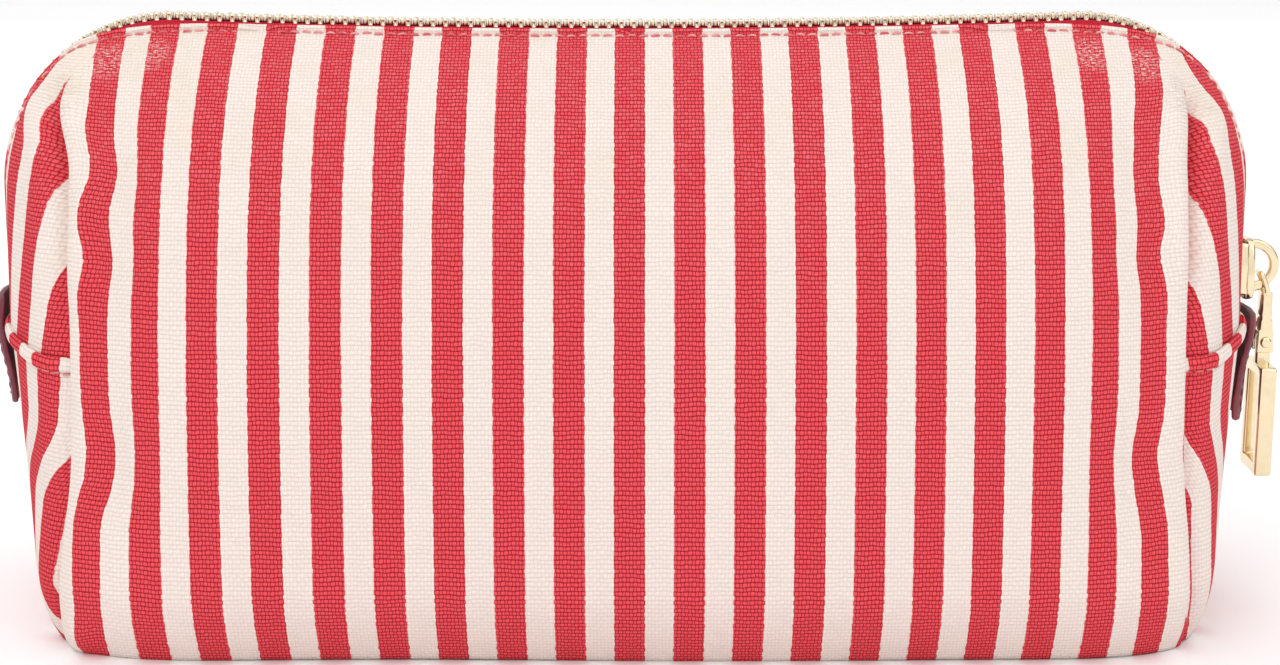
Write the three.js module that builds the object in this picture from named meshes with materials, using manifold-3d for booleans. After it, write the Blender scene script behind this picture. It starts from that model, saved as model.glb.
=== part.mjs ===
// Boxy zipped makeup bag in striped canvas. Millimetres, +Z up, origin on the floor under the middle
// of the base. X runs along the zip, Y through the depth, with the front at -Y. The zip runs over the
// top and down both ends to the end seams, and its slider hangs at the +X end.
import * as THREE from "three";
import { mergeVertices } from "three/addons/utils/BufferGeometryUtils.js";
import Module from "manifold-3d";

const wasm = await Module();
wasm.setup();

// ---- driving dimensions of the sewn body ----
const BAG_HEIGHT = 127.5; // floor to the zip line at its shoulders
const CREST_HEIGHT = 129; // where front and back would meet if they ran on over the zip
const TOP_SAG = 2.5; // drop of the zip line half way along the top
const END_HALF_WIDTH = 130.5; // bag centre to the zip line on an end
const BASE_HALF_DEPTH = 49.1; // widest half depth, just above the floor
const FLAT_FRONT_HALF = 75; // the front is flat this far out, then curves to the ends
const ZIP_CORNER_RADIUS = 35; // the zip line's bend at each top corner
const SEAM_HEIGHT = 61; // end seam, where the zip stops and the gusset starts
const SIDE_SEAM_HALF_WIDTH = 112; // bag centre to the seam between front and lower end
const BASE_ROUNDING = 16; // the base edges tuck in below this height
const FRONT_TUCK = 7.7; // how far the front and back tuck in at the floor
const END_TUCK = 3; // how far the ends do
const END_LEAN = 6; // the lower ends lean in by this much towards the base
const SEAM_SQUARENESS = 2.1; // outline exponent at the end seam: 2 is an ellipse
const BASE_SQUARENESS = 3.5; // outline exponent at the floor: nearer a rectangle
const TOP_SQUARENESS = 1.8; // outline exponent at the top: nearer a diamond

const CANVAS_THICKNESS = 1.0;
const GAP = 0.3; // between pieces that touch
const BASE_THICKNESS = 1.2;
const TAPE_DEPTH = CANVAS_THICKNESS + GAP; // outer face of the zip tape under the outer surface
const TAPE_THICKNESS = 0.5;
const LINING_DEPTH = TAPE_DEPTH + TAPE_THICKNESS + GAP;
const LINING_THICKNESS = 0.4;
const HEM_HEIGHT = 3.4; // folded top edge of each gusset
const HEM_STAND = 1.2; // how far the fold stands out

// ---- driving dimensions of the zip ----
const CANVAS_EDGE = 5.5; // zip centre line to the canvas edge
const TAPE_INNER_EDGE = 3.3;
const TAPE_OUTER_EDGE = 14;
const LINING_EDGE = 7;
const TEETH_INNER = 0.7; // the slider's wedge runs in this half gap
const TEETH_OUTER = 3.0;
const TEETH_STAND = 1.5; // the rows stand this far out of the zip line, and as far in
const LEFT_TEETH_END = 64.6;
const RIGHT_TEETH_END = 66.2;
const STOP_HEIGHT = 2.3;

// ---- driving dimensions of the leather patches ----
const PATCH_HALF_WIDTH = 11;
const PATCH_THICKNESS = 1.3;
const PATCH_EDGE_STAND = 1.55; // patch to canvas along its sides, over the gusset's fold
const PATCH_RIDGE_STAND = 2.2; // how much more it stands out over the zip
const LEFT_PATCH = [46, 69.5];
const RIGHT_PATCH = [42, 65];

// ---- driving dimensions of the slider and its pull ----
const SLIDER_BOTTOM = 67.4;
const SLIDER_TOP = 80.6;
const SLIDER_HALF_WIDTH = 5.1;
const PLATE_OUTER = 134.5; // outer face of the outer plate
const CHANNEL_OUTER = 132.5;
const CHANNEL_INNER = 128.7;
const CHANNEL_HALF = 3.3;
const PLATE_INNER = 127.2;
const BAIL_CENTRE = new THREE.Vector3(134.9, 0, 74.5);
const BAIL_OUTER_RADIUS = 5.7;
const BAIL_INNER_RADIUS = 3.7;
const BAIL_HALF_WIDTH = 1.0;
const PIN_CENTRE = new THREE.Vector3(138.3, 0, 57.8);
const PIN_RADIUS = 0.75;
const PIN_HEAD_RADIUS = 1.2;
const PIN_HEAD_THICKNESS = 0.4;
const PIN_HOLE_RADIUS = 1.05;
const LINK_HALF_WIDTH = 2.2;
const EYE_HALF_WIDTH = 1.3;
const TONGUE_HALF_WIDTH = 1.2;
const FRAME_HALF_WIDTH = 6.5;
const FRAME_HALF_THICKNESS = 1.75;
const FRAME_BOTTOM = 28.8;
const FRAME_TOP = 53.0;
const FRAME_BAR = 2.5;

// ---- materials ----
function finish(color, roughness, metalness) {
  return new THREE.MeshStandardMaterial({ color, roughness, metalness });
}
const CANVAS = finish(0xd9485a, 0.9, 0);
const LINING = finish(0xe8dcc8, 0.85, 0);
const TAPE = finish(0xc41e2e, 0.85, 0);
const BRASS = finish(0xc9a35a, 0.35, 1);
const GOLD = finish(0xe9cf9c, 0.2, 1);
const LEATHER = finish(0x6e2531, 0.55, 0);

// ---- solids ----
function toSolid(geometry) {
  const bare = geometry.clone();
  bare.deleteAttribute("normal");
  bare.deleteAttribute("uv");
  const merged = mergeVertices(bare, 1e-4);
  return new wasm.Manifold(
    new wasm.Mesh({
      numProp: 3,
      vertProperties: new Float32Array(merged.attributes.position.array),
      triVerts: new Uint32Array(merged.index.array),
    }),
  );
}

function toGeometry(solid) {
  const mesh = solid.getMesh();
  const geometry = new THREE.BufferGeometry();
  geometry.setAttribute("position", new THREE.BufferAttribute(mesh.vertProperties, 3));
  geometry.setIndex(new THREE.BufferAttribute(mesh.triVerts, 1));
  geometry.computeVertexNormals();
  return geometry;
}

// A box between two corners.
function boxSolid(x0, x1, y0, y1, z0, z1) {
  const box = new THREE.BoxGeometry(x1 - x0, y1 - y0, z1 - z0);
  return toSolid(box.translate((x0 + x1) / 2, (y0 + y1) / 2, (z0 + z1) / 2));
}

// A shape drawn as (y, z), extruded along +X from x0 to x1.
function extrudeAlongX(shape, x0, x1, curveSegments = 4) {
  const made = new THREE.ExtrudeGeometry(shape, { depth: x1 - x0, bevelEnabled: false, curveSegments });
  const axes = new THREE.Matrix4().makeBasis(
    new THREE.Vector3(0, 1, 0),
    new THREE.Vector3(0, 0, 1),
    new THREE.Vector3(1, 0, 0),
  );
  return toSolid(made.applyMatrix4(axes).translate(x0, 0, 0));
}

// A shape drawn as (x, z), extruded to both sides of y = 0.
function extrudeAcrossY(shape, halfWidth, curveSegments = 10) {
  const made = new THREE.ExtrudeGeometry(shape, { depth: 2 * halfWidth, bevelEnabled: false, curveSegments });
  return toSolid(made.rotateX(Math.PI / 2).translate(0, halfWidth, 0));
}

// A rod along Y through a point, from y0 to y1.
function rodAlongY(centre, radius, y0, y1, segments = 20) {
  const rod = new THREE.CylinderGeometry(radius, radius, y1 - y0, segments);
  return toSolid(rod.translate(centre.x, (y0 + y1) / 2, centre.z));
}

function roundedRectangle(u0, u1, v0, v1, radius) {
  const shape = new THREE.Shape();
  shape.moveTo(u0 + radius, v0);
  shape.lineTo(u1 - radius, v0);
  shape.quadraticCurveTo(u1, v0, u1, v0 + radius);
  shape.lineTo(u1, v1 - radius);
  shape.quadraticCurveTo(u1, v1, u1 - radius, v1);
  shape.lineTo(u0 + radius, v1);
  shape.quadraticCurveTo(u0, v1, u0, v1 - radius);
  shape.lineTo(u0, v0 + radius);
  shape.quadraticCurveTo(u0, v0, u0 + radius, v0);
  return shape;
}

// The same piece on the back, turned half a turn about the bag's upright axis.
function turned(solid) {
  return solid.rotate([0, 0, 180]);
}

// ---- the bag's outer surface, as level outlines ----
const ARC_CENTRE_X = END_HALF_WIDTH - ZIP_CORNER_RADIUS;
const ARC_CENTRE_Z = BAG_HEIGHT - ZIP_CORNER_RADIUS;

// Share of the tuck at the floor that a wall has at a height above it.
function tuckShare(z) {
  return Math.max(0, 1 - z / BASE_ROUNDING) ** 1.6;
}

// Half depth of the flat part of the front: a slow lean, then a roll over to the zip.
function halfDepth(z) {
  const rise = Math.max(0, (z - BASE_ROUNDING) / (CREST_HEIGHT - BASE_ROUNDING));
  return BASE_HALF_DEPTH * (1 - 0.4 * rise ** 1.6 - 0.6 * rise ** 6) - FRONT_TUCK * tuckShare(z);
}

// Half width at mid depth: leaning lower end, upright upper end, then a quarter circle.
function halfWidth(z) {
  const lean = END_LEAN * Math.max(0, 1 - z / SEAM_HEIGHT) ** 1.1;
  const rise = Math.min(ZIP_CORNER_RADIUS, Math.max(0, z - ARC_CENTRE_Z));
  return ARC_CENTRE_X + Math.sqrt(ZIP_CORNER_RADIUS ** 2 - rise ** 2) - lean - END_TUCK * tuckShare(z);
}

// Half width of the flat strip that carries the zip.
function stripHalf(z) {
  return Math.min(CANVAS_EDGE, 0.4 * halfDepth(z));
}

// Exponent of the outline's rounded corners.
function squareness(z) {
  const drop = Math.max(0, 1 - z / SEAM_HEIGHT) ** 2.4;
  const climb = Math.max(0, (z - SEAM_HEIGHT) / (BAG_HEIGHT - SEAM_HEIGHT));
  const below = (BASE_SQUARENESS - SEAM_SQUARENESS) * drop;
  return SEAM_SQUARENESS + below - (SEAM_SQUARENESS - TOP_SQUARENESS) * climb;
}

// The zip line drops towards the middle of the top, and the canvas below goes with it.
function sag(x, z) {
  return TOP_SAG * Math.max(0, 1 - (x / ARC_CENTRE_X) ** 2) * (Math.max(0, z) / BAG_HEIGHT) ** 6;
}

const CORNER_STEPS = 7;
const FLAT_STEPS = 2;

// One level outline, counter-clockwise seen from above, starting at the +X end.
function outline(z) {
  const power = 2 / squareness(z);
  const reach = halfWidth(z) - FLAT_FRONT_HALF;
  const strip = stripHalf(z);
  const quarter = [];
  for (let i = 0; i <= CORNER_STEPS; i++) {
    const angle = (i / CORNER_STEPS) * (Math.PI / 2);
    const across = Math.max(0, Math.cos(angle)) ** power;
    const back = strip + (halfDepth(z) - strip) * Math.sin(angle) ** power;
    quarter.push([FLAT_FRONT_HALF + reach * across, back]);
  }
  for (let i = 1; i <= FLAT_STEPS; i++) {
    quarter.push([FLAT_FRONT_HALF * (1 - i / FLAT_STEPS), halfDepth(z)]);
  }
  const half = [...quarter, ...quarter.slice(0, -1).reverse().map(([x, y]) => [-x, y])];
  const whole = [...half, ...half.slice().reverse().map(([x, y]) => [x, -y])];
  return whole.map(([x, y]) => new THREE.Vector3(x, y, z - sag(x, z)));
}

const NORMAL_STEP = 0.2; // height step that the surface's normal is measured over

// The outline moved straight in from the surface by a depth, along the surface's own normal.
function outlineAtDepth(z, depth) {
  const here = outline(z);
  const above = outline(z + NORMAL_STEP);
  const below = outline(z - NORMAL_STEP);
  const count = here.length;
  return here.map((point, i) => {
    const along = here[(i + 1) % count].clone().sub(here[(i + count - 1) % count]);
    const up = above[i].clone().sub(below[i]);
    return point.clone().addScaledVector(along.cross(up).normalize(), -depth);
  });
}

const TOP_ROW_ANGLE = 83; // the surface stops just short of the zip line's crest
const ARC_ROWS = 7;

function bodyLevels() {
  const walls = [0, 2.5, 7, BASE_ROUNDING, 32, 47, SEAM_HEIGHT, 77];
  const arc = [];
  for (let i = 0; i <= ARC_ROWS; i++) {
    const angle = THREE.MathUtils.degToRad((TOP_ROW_ANGLE * i) / ARC_ROWS);
    arc.push(ARC_CENTRE_Z + ZIP_CORNER_RADIUS * Math.sin(angle));
  }
  return [...walls, ...arc];
}

// A closed band of cloth right round the bag between two depths under the surface.
function bandOfCloth(outerDepth, innerDepth, levels = bodyLevels()) {
  const outer = levels.map((z) => outlineAtDepth(z, outerDepth));
  const inner = levels.map((z) => outlineAtDepth(z, innerDepth)).reverse();
  const loops = [...outer, ...inner];
  const count = outer[0].length;
  const faces = [];
  loops.forEach((_, row) => {
    const next = (row + 1) % loops.length;
    for (let i = 0; i < count; i++) {
      const j = (i + 1) % count;
      const [a, b, c, d] = [row * count + i, row * count + j, next * count + j, next * count + i];
      faces.push(a, b, c, a, c, d);
    }
  });
  const geometry = new THREE.BufferGeometry().setFromPoints(loops.flat());
  geometry.setIndex(faces);
  return toSolid(geometry);
}

// ---- sewn pieces ----
const FAR = 200; // past every side of the bag
const canvasBand = bandOfCloth(0, CANVAS_THICKNESS);

// Everything on one end below a height, outside the seam to the front and back panels.
function lowerEnd(xSide, margin, z0, z1) {
  const near = SIDE_SEAM_HALF_WIDTH - margin;
  return xSide > 0 ? boxSolid(near, FAR, -FAR, FAR, z0, z1) : boxSolid(-FAR, -near, -FAR, FAR, z0, z1);
}

function frontPanel() {
  const frontHalf = boxSolid(-FAR, FAR, -FAR, -CANVAS_EDGE, -1, FAR);
  return canvasBand
    .intersect(frontHalf)
    .subtract(lowerEnd(1, GAP, -2, SEAM_HEIGHT))
    .subtract(lowerEnd(-1, GAP, -2, SEAM_HEIGHT));
}

// Lower end with its folded top edge standing out all the way across.
function endGusset(xSide) {
  const top = SEAM_HEIGHT - GAP;
  const foldLevels = [top - HEM_HEIGHT, top];
  const fold = bandOfCloth(-HEM_STAND, CANVAS_THICKNESS, foldLevels).intersect(lowerEnd(xSide, 0, 0, FAR));
  return canvasBand.intersect(lowerEnd(xSide, 0, -2, top)).add(fold);
}

// A flat plate inside the base outline, pulled in from it all round.
function basePlate(inset, z0, z1) {
  const rim = outline(0).map((p) => new THREE.Vector2(p.x, p.y));
  const shape = new THREE.Shape(rim);
  const plate = new THREE.ExtrudeGeometry(shape, { depth: z1 - z0, bevelEnabled: false });
  const [width, depth] = [halfWidth(0), halfDepth(0)];
  return toSolid(plate.scale((width - inset) / width, (depth - inset) / depth, 1).translate(0, 0, z0));
}

function frontLining() {
  const band = bandOfCloth(LINING_DEPTH, LINING_DEPTH + LINING_THICKNESS);
  const lower = boxSolid(-FAR, FAR, -FAR, -GAP / 2, BASE_THICKNESS + GAP, SEAM_HEIGHT);
  const upper = boxSolid(-FAR, FAR, -FAR, -LINING_EDGE, BASE_THICKNESS + GAP, FAR);
  return band.intersect(lower.add(upper));
}

// ---- zip ----
function zipTapeFront() {
  const strip = boxSolid(-FAR, FAR, -TAPE_OUTER_EDGE, -TAPE_INNER_EDGE, SEAM_HEIGHT + GAP, FAR);
  return bandOfCloth(TAPE_DEPTH, TAPE_DEPTH + TAPE_THICKNESS).intersect(strip);
}

// The zip line in the XZ plane, up the -X end, over the top and down the +X end.
function zipLine() {
  const line = new THREE.Path();
  line.moveTo(-END_HALF_WIDTH, LEFT_TEETH_END);
  line.lineTo(-END_HALF_WIDTH, ARC_CENTRE_Z);
  line.absarc(-ARC_CENTRE_X, ARC_CENTRE_Z, ZIP_CORNER_RADIUS, Math.PI, Math.PI / 2, true);
  line.lineTo(ARC_CENTRE_X, BAG_HEIGHT);
  line.absarc(ARC_CENTRE_X, ARC_CENTRE_Z, ZIP_CORNER_RADIUS, Math.PI / 2, 0, true);
  line.lineTo(END_HALF_WIDTH, RIGHT_TEETH_END);
  return line;
}

const ZIP_STEPS = 54;

// One row of teeth as a bar bent along the zip line.
function zipTeethFront() {
  const line = zipLine();
  const bar = new THREE.BoxGeometry(1, TEETH_OUTER - TEETH_INNER, 2 * TEETH_STAND, ZIP_STEPS, 1, 1);
  bar.translate(0.5, -(TEETH_INNER + TEETH_OUTER) / 2, 0);
  const place = bar.attributes.position;
  for (let i = 0; i < place.count; i++) {
    const along = Math.min(1, Math.max(0, place.getX(i)));
    const point = line.getPointAt(along);
    const tangent = line.getTangentAt(along);
    const stand = place.getZ(i);
    const x = point.x - tangent.y * stand;
    const z = point.y + tangent.x * stand - sag(point.x, BAG_HEIGHT) * (point.y > ARC_CENTRE_Z ? 1 : 0);
    place.setXYZ(i, x, place.getY(i), z);
  }
  return toSolid(bar);
}

// The box stop that joins both rows at the -X end, under the left patch.
function zipBottomStop() {
  const top = LEFT_TEETH_END - GAP;
  const inner = -END_HALF_WIDTH + TEETH_STAND;
  return boxSolid(-END_HALF_WIDTH - TEETH_STAND, inner, -TEETH_OUTER, TEETH_OUTER, top - STOP_HEIGHT, top);
}

// One clip at the end of the front row at the +X end, which the slider stops against.
function zipTopStop(ySide) {
  const top = RIGHT_TEETH_END - GAP;
  const ys = ySide > 0 ? [TEETH_INNER, TEETH_OUTER] : [-TEETH_OUTER, -TEETH_INNER];
  const [inner, outer] = [END_HALF_WIDTH - TEETH_STAND, END_HALF_WIDTH + TEETH_STAND];
  return boxSolid(inner, outer, ...ys, top - STOP_HEIGHT, top);
}

// ---- leather patches over the zip ends ----
function surfaceX(y, z) {
  const n = squareness(z);
  const strip = stripHalf(z);
  const beyond = Math.max(0, Math.abs(y) - strip) / (halfDepth(z) - strip);
  const share = (1 - beyond ** n) ** (1 / n);
  return FLAT_FRONT_HALF + (halfWidth(z) - FLAT_FRONT_HALF) * share;
}

// A sheet bent over the canvas, tented over the zip's end. Turned over for the -X end.
function endPatch([bottom, top]) {
  const sheet = new THREE.BoxGeometry(PATCH_THICKNESS, 2 * PATCH_HALF_WIDTH, top - bottom, 1, 8, 6);
  sheet.translate(PATCH_THICKNESS / 2, 0, (bottom + top) / 2);
  const place = sheet.attributes.position;
  for (let i = 0; i < place.count; i++) {
    const [x, y, z] = [place.getX(i), place.getY(i), place.getZ(i)];
    const stand = PATCH_EDGE_STAND + PATCH_RIDGE_STAND * (1 - (y / PATCH_HALF_WIDTH) ** 2);
    place.setX(i, surfaceX(y, z) + stand + x);
  }
  return toSolid(sheet);
}

// ---- slider ----
// Heart-shaped plate, wide at the end that leads when closing and narrow at the other.
function plateOutline() {
  const w = SLIDER_HALF_WIDTH;
  const shape = new THREE.Shape();
  shape.moveTo(-w * 0.5, SLIDER_BOTTOM);
  shape.lineTo(w * 0.5, SLIDER_BOTTOM);
  shape.quadraticCurveTo(w, SLIDER_BOTTOM, w, SLIDER_BOTTOM + 4);
  shape.quadraticCurveTo(w, SLIDER_BOTTOM + 7, w * 0.86, SLIDER_TOP - 1);
  shape.quadraticCurveTo(w * 0.82, SLIDER_TOP, w * 0.65, SLIDER_TOP);
  shape.lineTo(-w * 0.65, SLIDER_TOP);
  shape.quadraticCurveTo(-w * 0.82, SLIDER_TOP, -w * 0.86, SLIDER_TOP - 1);
  shape.quadraticCurveTo(-w, SLIDER_BOTTOM + 7, -w, SLIDER_BOTTOM + 4);
  shape.quadraticCurveTo(-w, SLIDER_BOTTOM, -w * 0.5, SLIDER_BOTTOM);
  return shape;
}

function sliderBody() {
  const below = SLIDER_BOTTOM - 1;
  const tapeOuter = END_HALF_WIDTH - TAPE_DEPTH + GAP;
  const tapeInner = END_HALF_WIDTH - TAPE_DEPTH - TAPE_THICKNESS - GAP;
  const teethChannel = boxSolid(CHANNEL_INNER, CHANNEL_OUTER, -CHANNEL_HALF, CHANNEL_HALF, below, FAR);
  const tapeSlit = boxSolid(tapeInner, tapeOuter, -FAR, FAR, below, FAR);
  const wedgeZ = [SLIDER_BOTTOM + 0.4, SLIDER_BOTTOM + 4.6];
  const wedge = boxSolid(CHANNEL_INNER - 0.6, CHANNEL_OUTER + 0.5, -0.4, 0.4, ...wedgeZ);
  return extrudeAlongX(plateOutline(), PLATE_INNER, PLATE_OUTER)
    .subtract(teethChannel)
    .subtract(tapeSlit)
    .add(wedge);
}

// Half ring with its two feet just off the outer plate.
function sliderBail() {
  const foot = PLATE_OUTER + GAP;
  const shape = new THREE.Shape();
  shape.moveTo(foot, BAIL_CENTRE.z - BAIL_OUTER_RADIUS);
  shape.absarc(BAIL_CENTRE.x, BAIL_CENTRE.z, BAIL_OUTER_RADIUS, -Math.PI / 2, Math.PI / 2, false);
  shape.lineTo(foot, BAIL_CENTRE.z + BAIL_OUTER_RADIUS);
  shape.lineTo(foot, BAIL_CENTRE.z + BAIL_INNER_RADIUS);
  shape.absarc(BAIL_CENTRE.x, BAIL_CENTRE.z, BAIL_INNER_RADIUS, Math.PI / 2, -Math.PI / 2, true);
  shape.lineTo(foot, BAIL_CENTRE.z - BAIL_INNER_RADIUS);
  return extrudeAcrossY(shape, BAIL_HALF_WIDTH, 12);
}

// ---- pull ----
// Side view of the link: a leaning eye at the top, a strap, and a block that thickens downwards.
function linkSide() {
  const shape = new THREE.Shape();
  shape.moveTo(PIN_CENTRE.x - 1.8, 55.4);
  shape.lineTo(PIN_CENTRE.x + 1.8, 55.4);
  shape.lineTo(139.4, 65);
  shape.lineTo(139.4, 70.5);
  shape.lineTo(137.4, 73.5);
  shape.lineTo(135.9, 73.5);
  shape.lineTo(135.9, 72.1);
  shape.lineTo(137.0, 70);
  shape.lineTo(137.0, 65);
  return shape;
}

function pullLink() {
  const slotHalf = TONGUE_HALF_WIDTH + GAP;
  const bailSlot = boxSolid(130, 145, -EYE_HALF_WIDTH, EYE_HALF_WIDTH, 68.3, 80);
  const eyeBar = boxSolid(135.9, 137.2, -1.8, 1.8, 72.2, 73.5);
  const tongueSlot = boxSolid(130, 145, -slotHalf, slotHalf, 50, PIN_CENTRE.z + 2.2);
  return extrudeAcrossY(linkSide(), LINK_HALF_WIDTH)
    .subtract(bailSlot)
    .add(eyeBar)
    .subtract(tongueSlot)
    .subtract(rodAlongY(PIN_CENTRE, PIN_HOLE_RADIUS, -5, 5));
}

// Cross pin with a head outside each cheek of the link.
function pullPin() {
  const face = LINK_HALF_WIDTH + GAP;
  const end = face + PIN_HEAD_THICKNESS;
  return rodAlongY(PIN_CENTRE, PIN_RADIUS, -end + 0.1, end - 0.1)
    .add(rodAlongY(PIN_CENTRE, PIN_HEAD_RADIUS, -end, -face))
    .add(rodAlongY(PIN_CENTRE, PIN_HEAD_RADIUS, face, end));
}

// Open rectangle with a knuckle that turns on the pin.
function pullFrame() {
  const [w, b] = [FRAME_HALF_WIDTH, FRAME_BAR];
  const ring = roundedRectangle(-w, w, FRAME_BOTTOM, FRAME_TOP, 1.2);
  ring.holes.push(roundedRectangle(-w + b, w - b, FRAME_BOTTOM + b, FRAME_TOP - b, 0.8));
  const knuckle = new THREE.Shape();
  knuckle.moveTo(PIN_CENTRE.x - 1.6, FRAME_TOP - 0.5);
  knuckle.lineTo(PIN_CENTRE.x + 1.6, FRAME_TOP - 0.5);
  knuckle.lineTo(PIN_CENTRE.x + 1.6, PIN_CENTRE.z);
  knuckle.absarc(PIN_CENTRE.x, PIN_CENTRE.z, 1.6, 0, Math.PI, false);
  return extrudeAlongX(ring, PIN_CENTRE.x - FRAME_HALF_THICKNESS, PIN_CENTRE.x + FRAME_HALF_THICKNESS)
    .add(extrudeAcrossY(knuckle, TONGUE_HALF_WIDTH))
    .subtract(rodAlongY(PIN_CENTRE, PIN_HOLE_RADIUS, -5, 5));
}

// ---- assembly ----
const bag = new THREE.Group();
const slider = new THREE.Group();
const link = new THREE.Group();
const frame = new THREE.Group();

function place(group, name, solid, material) {
  const mesh = new THREE.Mesh(toGeometry(solid), material);
  mesh.name = name;
  group.add(mesh);
}

// A piece of a group that turns about a pivot is placed about that pivot.
function placeAbout(group, pivot, name, solid, material) {
  place(group, name, solid.translate(pivot.clone().negate().toArray()), material);
}

place(bag, "front_panel", frontPanel(), CANVAS);
place(bag, "back_panel", turned(frontPanel()), CANVAS);
place(bag, "base_panel", basePlate(CANVAS_THICKNESS + 2 * GAP, 0, BASE_THICKNESS), CANVAS);
place(bag, "left_end_gusset", endGusset(-1), CANVAS);
place(bag, "right_end_gusset", endGusset(1), CANVAS);
place(bag, "front_lining", frontLining(), LINING);
place(bag, "back_lining", turned(frontLining()), LINING);
const LINING_FLOOR = BASE_THICKNESS + GAP;
place(bag, "base_lining", basePlate(LINING_DEPTH + 2, LINING_FLOOR, LINING_FLOOR + 0.5), LINING);
place(bag, "zip_tape_front", zipTapeFront(), TAPE);
place(bag, "zip_tape_back", turned(zipTapeFront()), TAPE);
place(bag, "zip_teeth_front", zipTeethFront(), BRASS);
place(bag, "zip_teeth_back", zipTeethFront().mirror([0, 1, 0]), BRASS);
place(bag, "zip_bottom_stop", zipBottomStop(), BRASS);
place(bag, "zip_top_stop_front", zipTopStop(-1), BRASS);
place(bag, "zip_top_stop_back", zipTopStop(1), BRASS);
place(bag, "left_end_patch", turned(endPatch(LEFT_PATCH)), LEATHER);
place(bag, "right_end_patch", endPatch(RIGHT_PATCH), LEATHER);

place(slider, "slider_body", sliderBody(), GOLD);
place(slider, "slider_bail", sliderBail(), GOLD);

link.position.copy(BAIL_CENTRE);
placeAbout(link, BAIL_CENTRE, "pull_link", pullLink(), GOLD);
placeAbout(link, BAIL_CENTRE, "pull_pin", pullPin(), GOLD);

frame.position.copy(PIN_CENTRE).sub(BAIL_CENTRE);
placeAbout(frame, PIN_CENTRE, "pull_frame", pullFrame(), GOLD);

link.add(frame);
slider.add(link);
bag.add(slider);

export default bag;
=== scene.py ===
"""Striped canvas makeup bag with a zip over its top, leather end patches and a hinged gold pull.

All sizes below are in millimetres, and mesh_object turns them into metres. X runs along the zip, the
front is at -Y and Z is up, as in the frame.
"""

from __future__ import annotations

import logging
import math
from dataclasses import dataclass, field
from enum import Enum

import bpy
import numpy as np
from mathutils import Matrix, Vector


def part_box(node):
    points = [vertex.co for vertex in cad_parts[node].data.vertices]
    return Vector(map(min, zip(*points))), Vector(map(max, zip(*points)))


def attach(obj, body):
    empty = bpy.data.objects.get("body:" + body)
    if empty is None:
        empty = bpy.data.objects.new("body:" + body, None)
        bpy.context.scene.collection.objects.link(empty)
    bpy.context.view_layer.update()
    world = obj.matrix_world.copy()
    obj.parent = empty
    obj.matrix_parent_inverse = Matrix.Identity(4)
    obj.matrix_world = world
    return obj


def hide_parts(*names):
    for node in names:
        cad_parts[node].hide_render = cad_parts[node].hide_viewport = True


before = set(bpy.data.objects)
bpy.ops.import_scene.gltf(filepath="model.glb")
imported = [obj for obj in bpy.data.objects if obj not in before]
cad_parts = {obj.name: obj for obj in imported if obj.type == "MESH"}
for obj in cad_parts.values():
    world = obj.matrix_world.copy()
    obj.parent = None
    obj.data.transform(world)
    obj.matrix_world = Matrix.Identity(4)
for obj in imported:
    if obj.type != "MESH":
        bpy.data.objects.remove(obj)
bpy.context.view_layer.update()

MM = 0.001
MM_PER_CM = 10.0
X_AXIS, Y_AXIS, Z_AXIS = np.eye(3)
LOG = logging.getLogger("makeup_bag")
Array = np.ndarray


class Side(Enum):
    """Front or back of the bag, as the sign of Y."""

    FRONT = -1
    BACK = 1

    @property
    def turn(self) -> Array:
        """Factors that take the front's points round to this side."""
        return np.array([-self.value, -self.value, 1.0])


class End(Enum):
    """Left or right end of the bag, as the sign of X."""

    LEFT = -1
    RIGHT = 1

    @property
    def turn(self) -> Array:
        """Factors that take the right end's points round to this end."""
        return np.array([self.value, self.value, 1.0])


# ---------------------------------------------------------------- mesh helpers


def node_box(node: str) -> tuple[Array, Array]:
    """Lowest and highest corner of a frame node, in millimetres."""
    low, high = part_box(node)
    return np.array(low) / MM, np.array(high) / MM


def smoothstep(value: Array) -> Array:
    """Eased ramp: 0 below 0, 1 above 1, and 3t^2 - 2t^3 between."""
    t = np.clip(value, 0.0, 1.0)
    return t * t * (3.0 - 2.0 * t)


def bump(distance: Array, width: float) -> Array:
    """Bell curve exp(-(distance / width)^2)."""
    return np.exp(-((distance / width) ** 2))


def unit(vectors: Array) -> Array:
    """Each vector divided by its length."""
    return vectors / np.maximum(np.linalg.norm(vectors, axis=-1, keepdims=True), 1e-9)


def running_length(points: Array) -> Array:
    """Distance of each point along a line from the line's first point."""
    return np.concatenate([[0.0], np.cumsum(np.linalg.norm(np.diff(points, axis=0), axis=1))])


def cloth_uv(along: Array, up: Array) -> Array:
    """Cloth coordinates in centimetres from lengths along and up the cloth in millimetres."""
    return np.stack(np.broadcast_arrays(along / MM_PER_CM, up / MM_PER_CM), -1)


def grid_quads(rows: int, columns: int, close_rows: bool, close_columns: bool) -> Array:
    """Corner indices of the quads of a grid of points.

    Args:
        rows: Number of rows of points.
        columns: Number of points in a row.
        close_rows: Joins the last row to the first.
        close_columns: Joins the last point of a row to its first.

    Returns:
        One row of four indices for each quad, facing along row step x column step.
    """
    i, j = np.meshgrid(
        np.arange(rows if close_rows else rows - 1),
        np.arange(columns if close_columns else columns - 1),
        indexing="ij",
    )
    i, j = i.ravel(), j.ravel()
    up, across = (i + 1) % rows, (j + 1) % columns
    return np.stack([i * columns + j, up * columns + j, up * columns + across, i * columns + across], 1)


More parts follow.
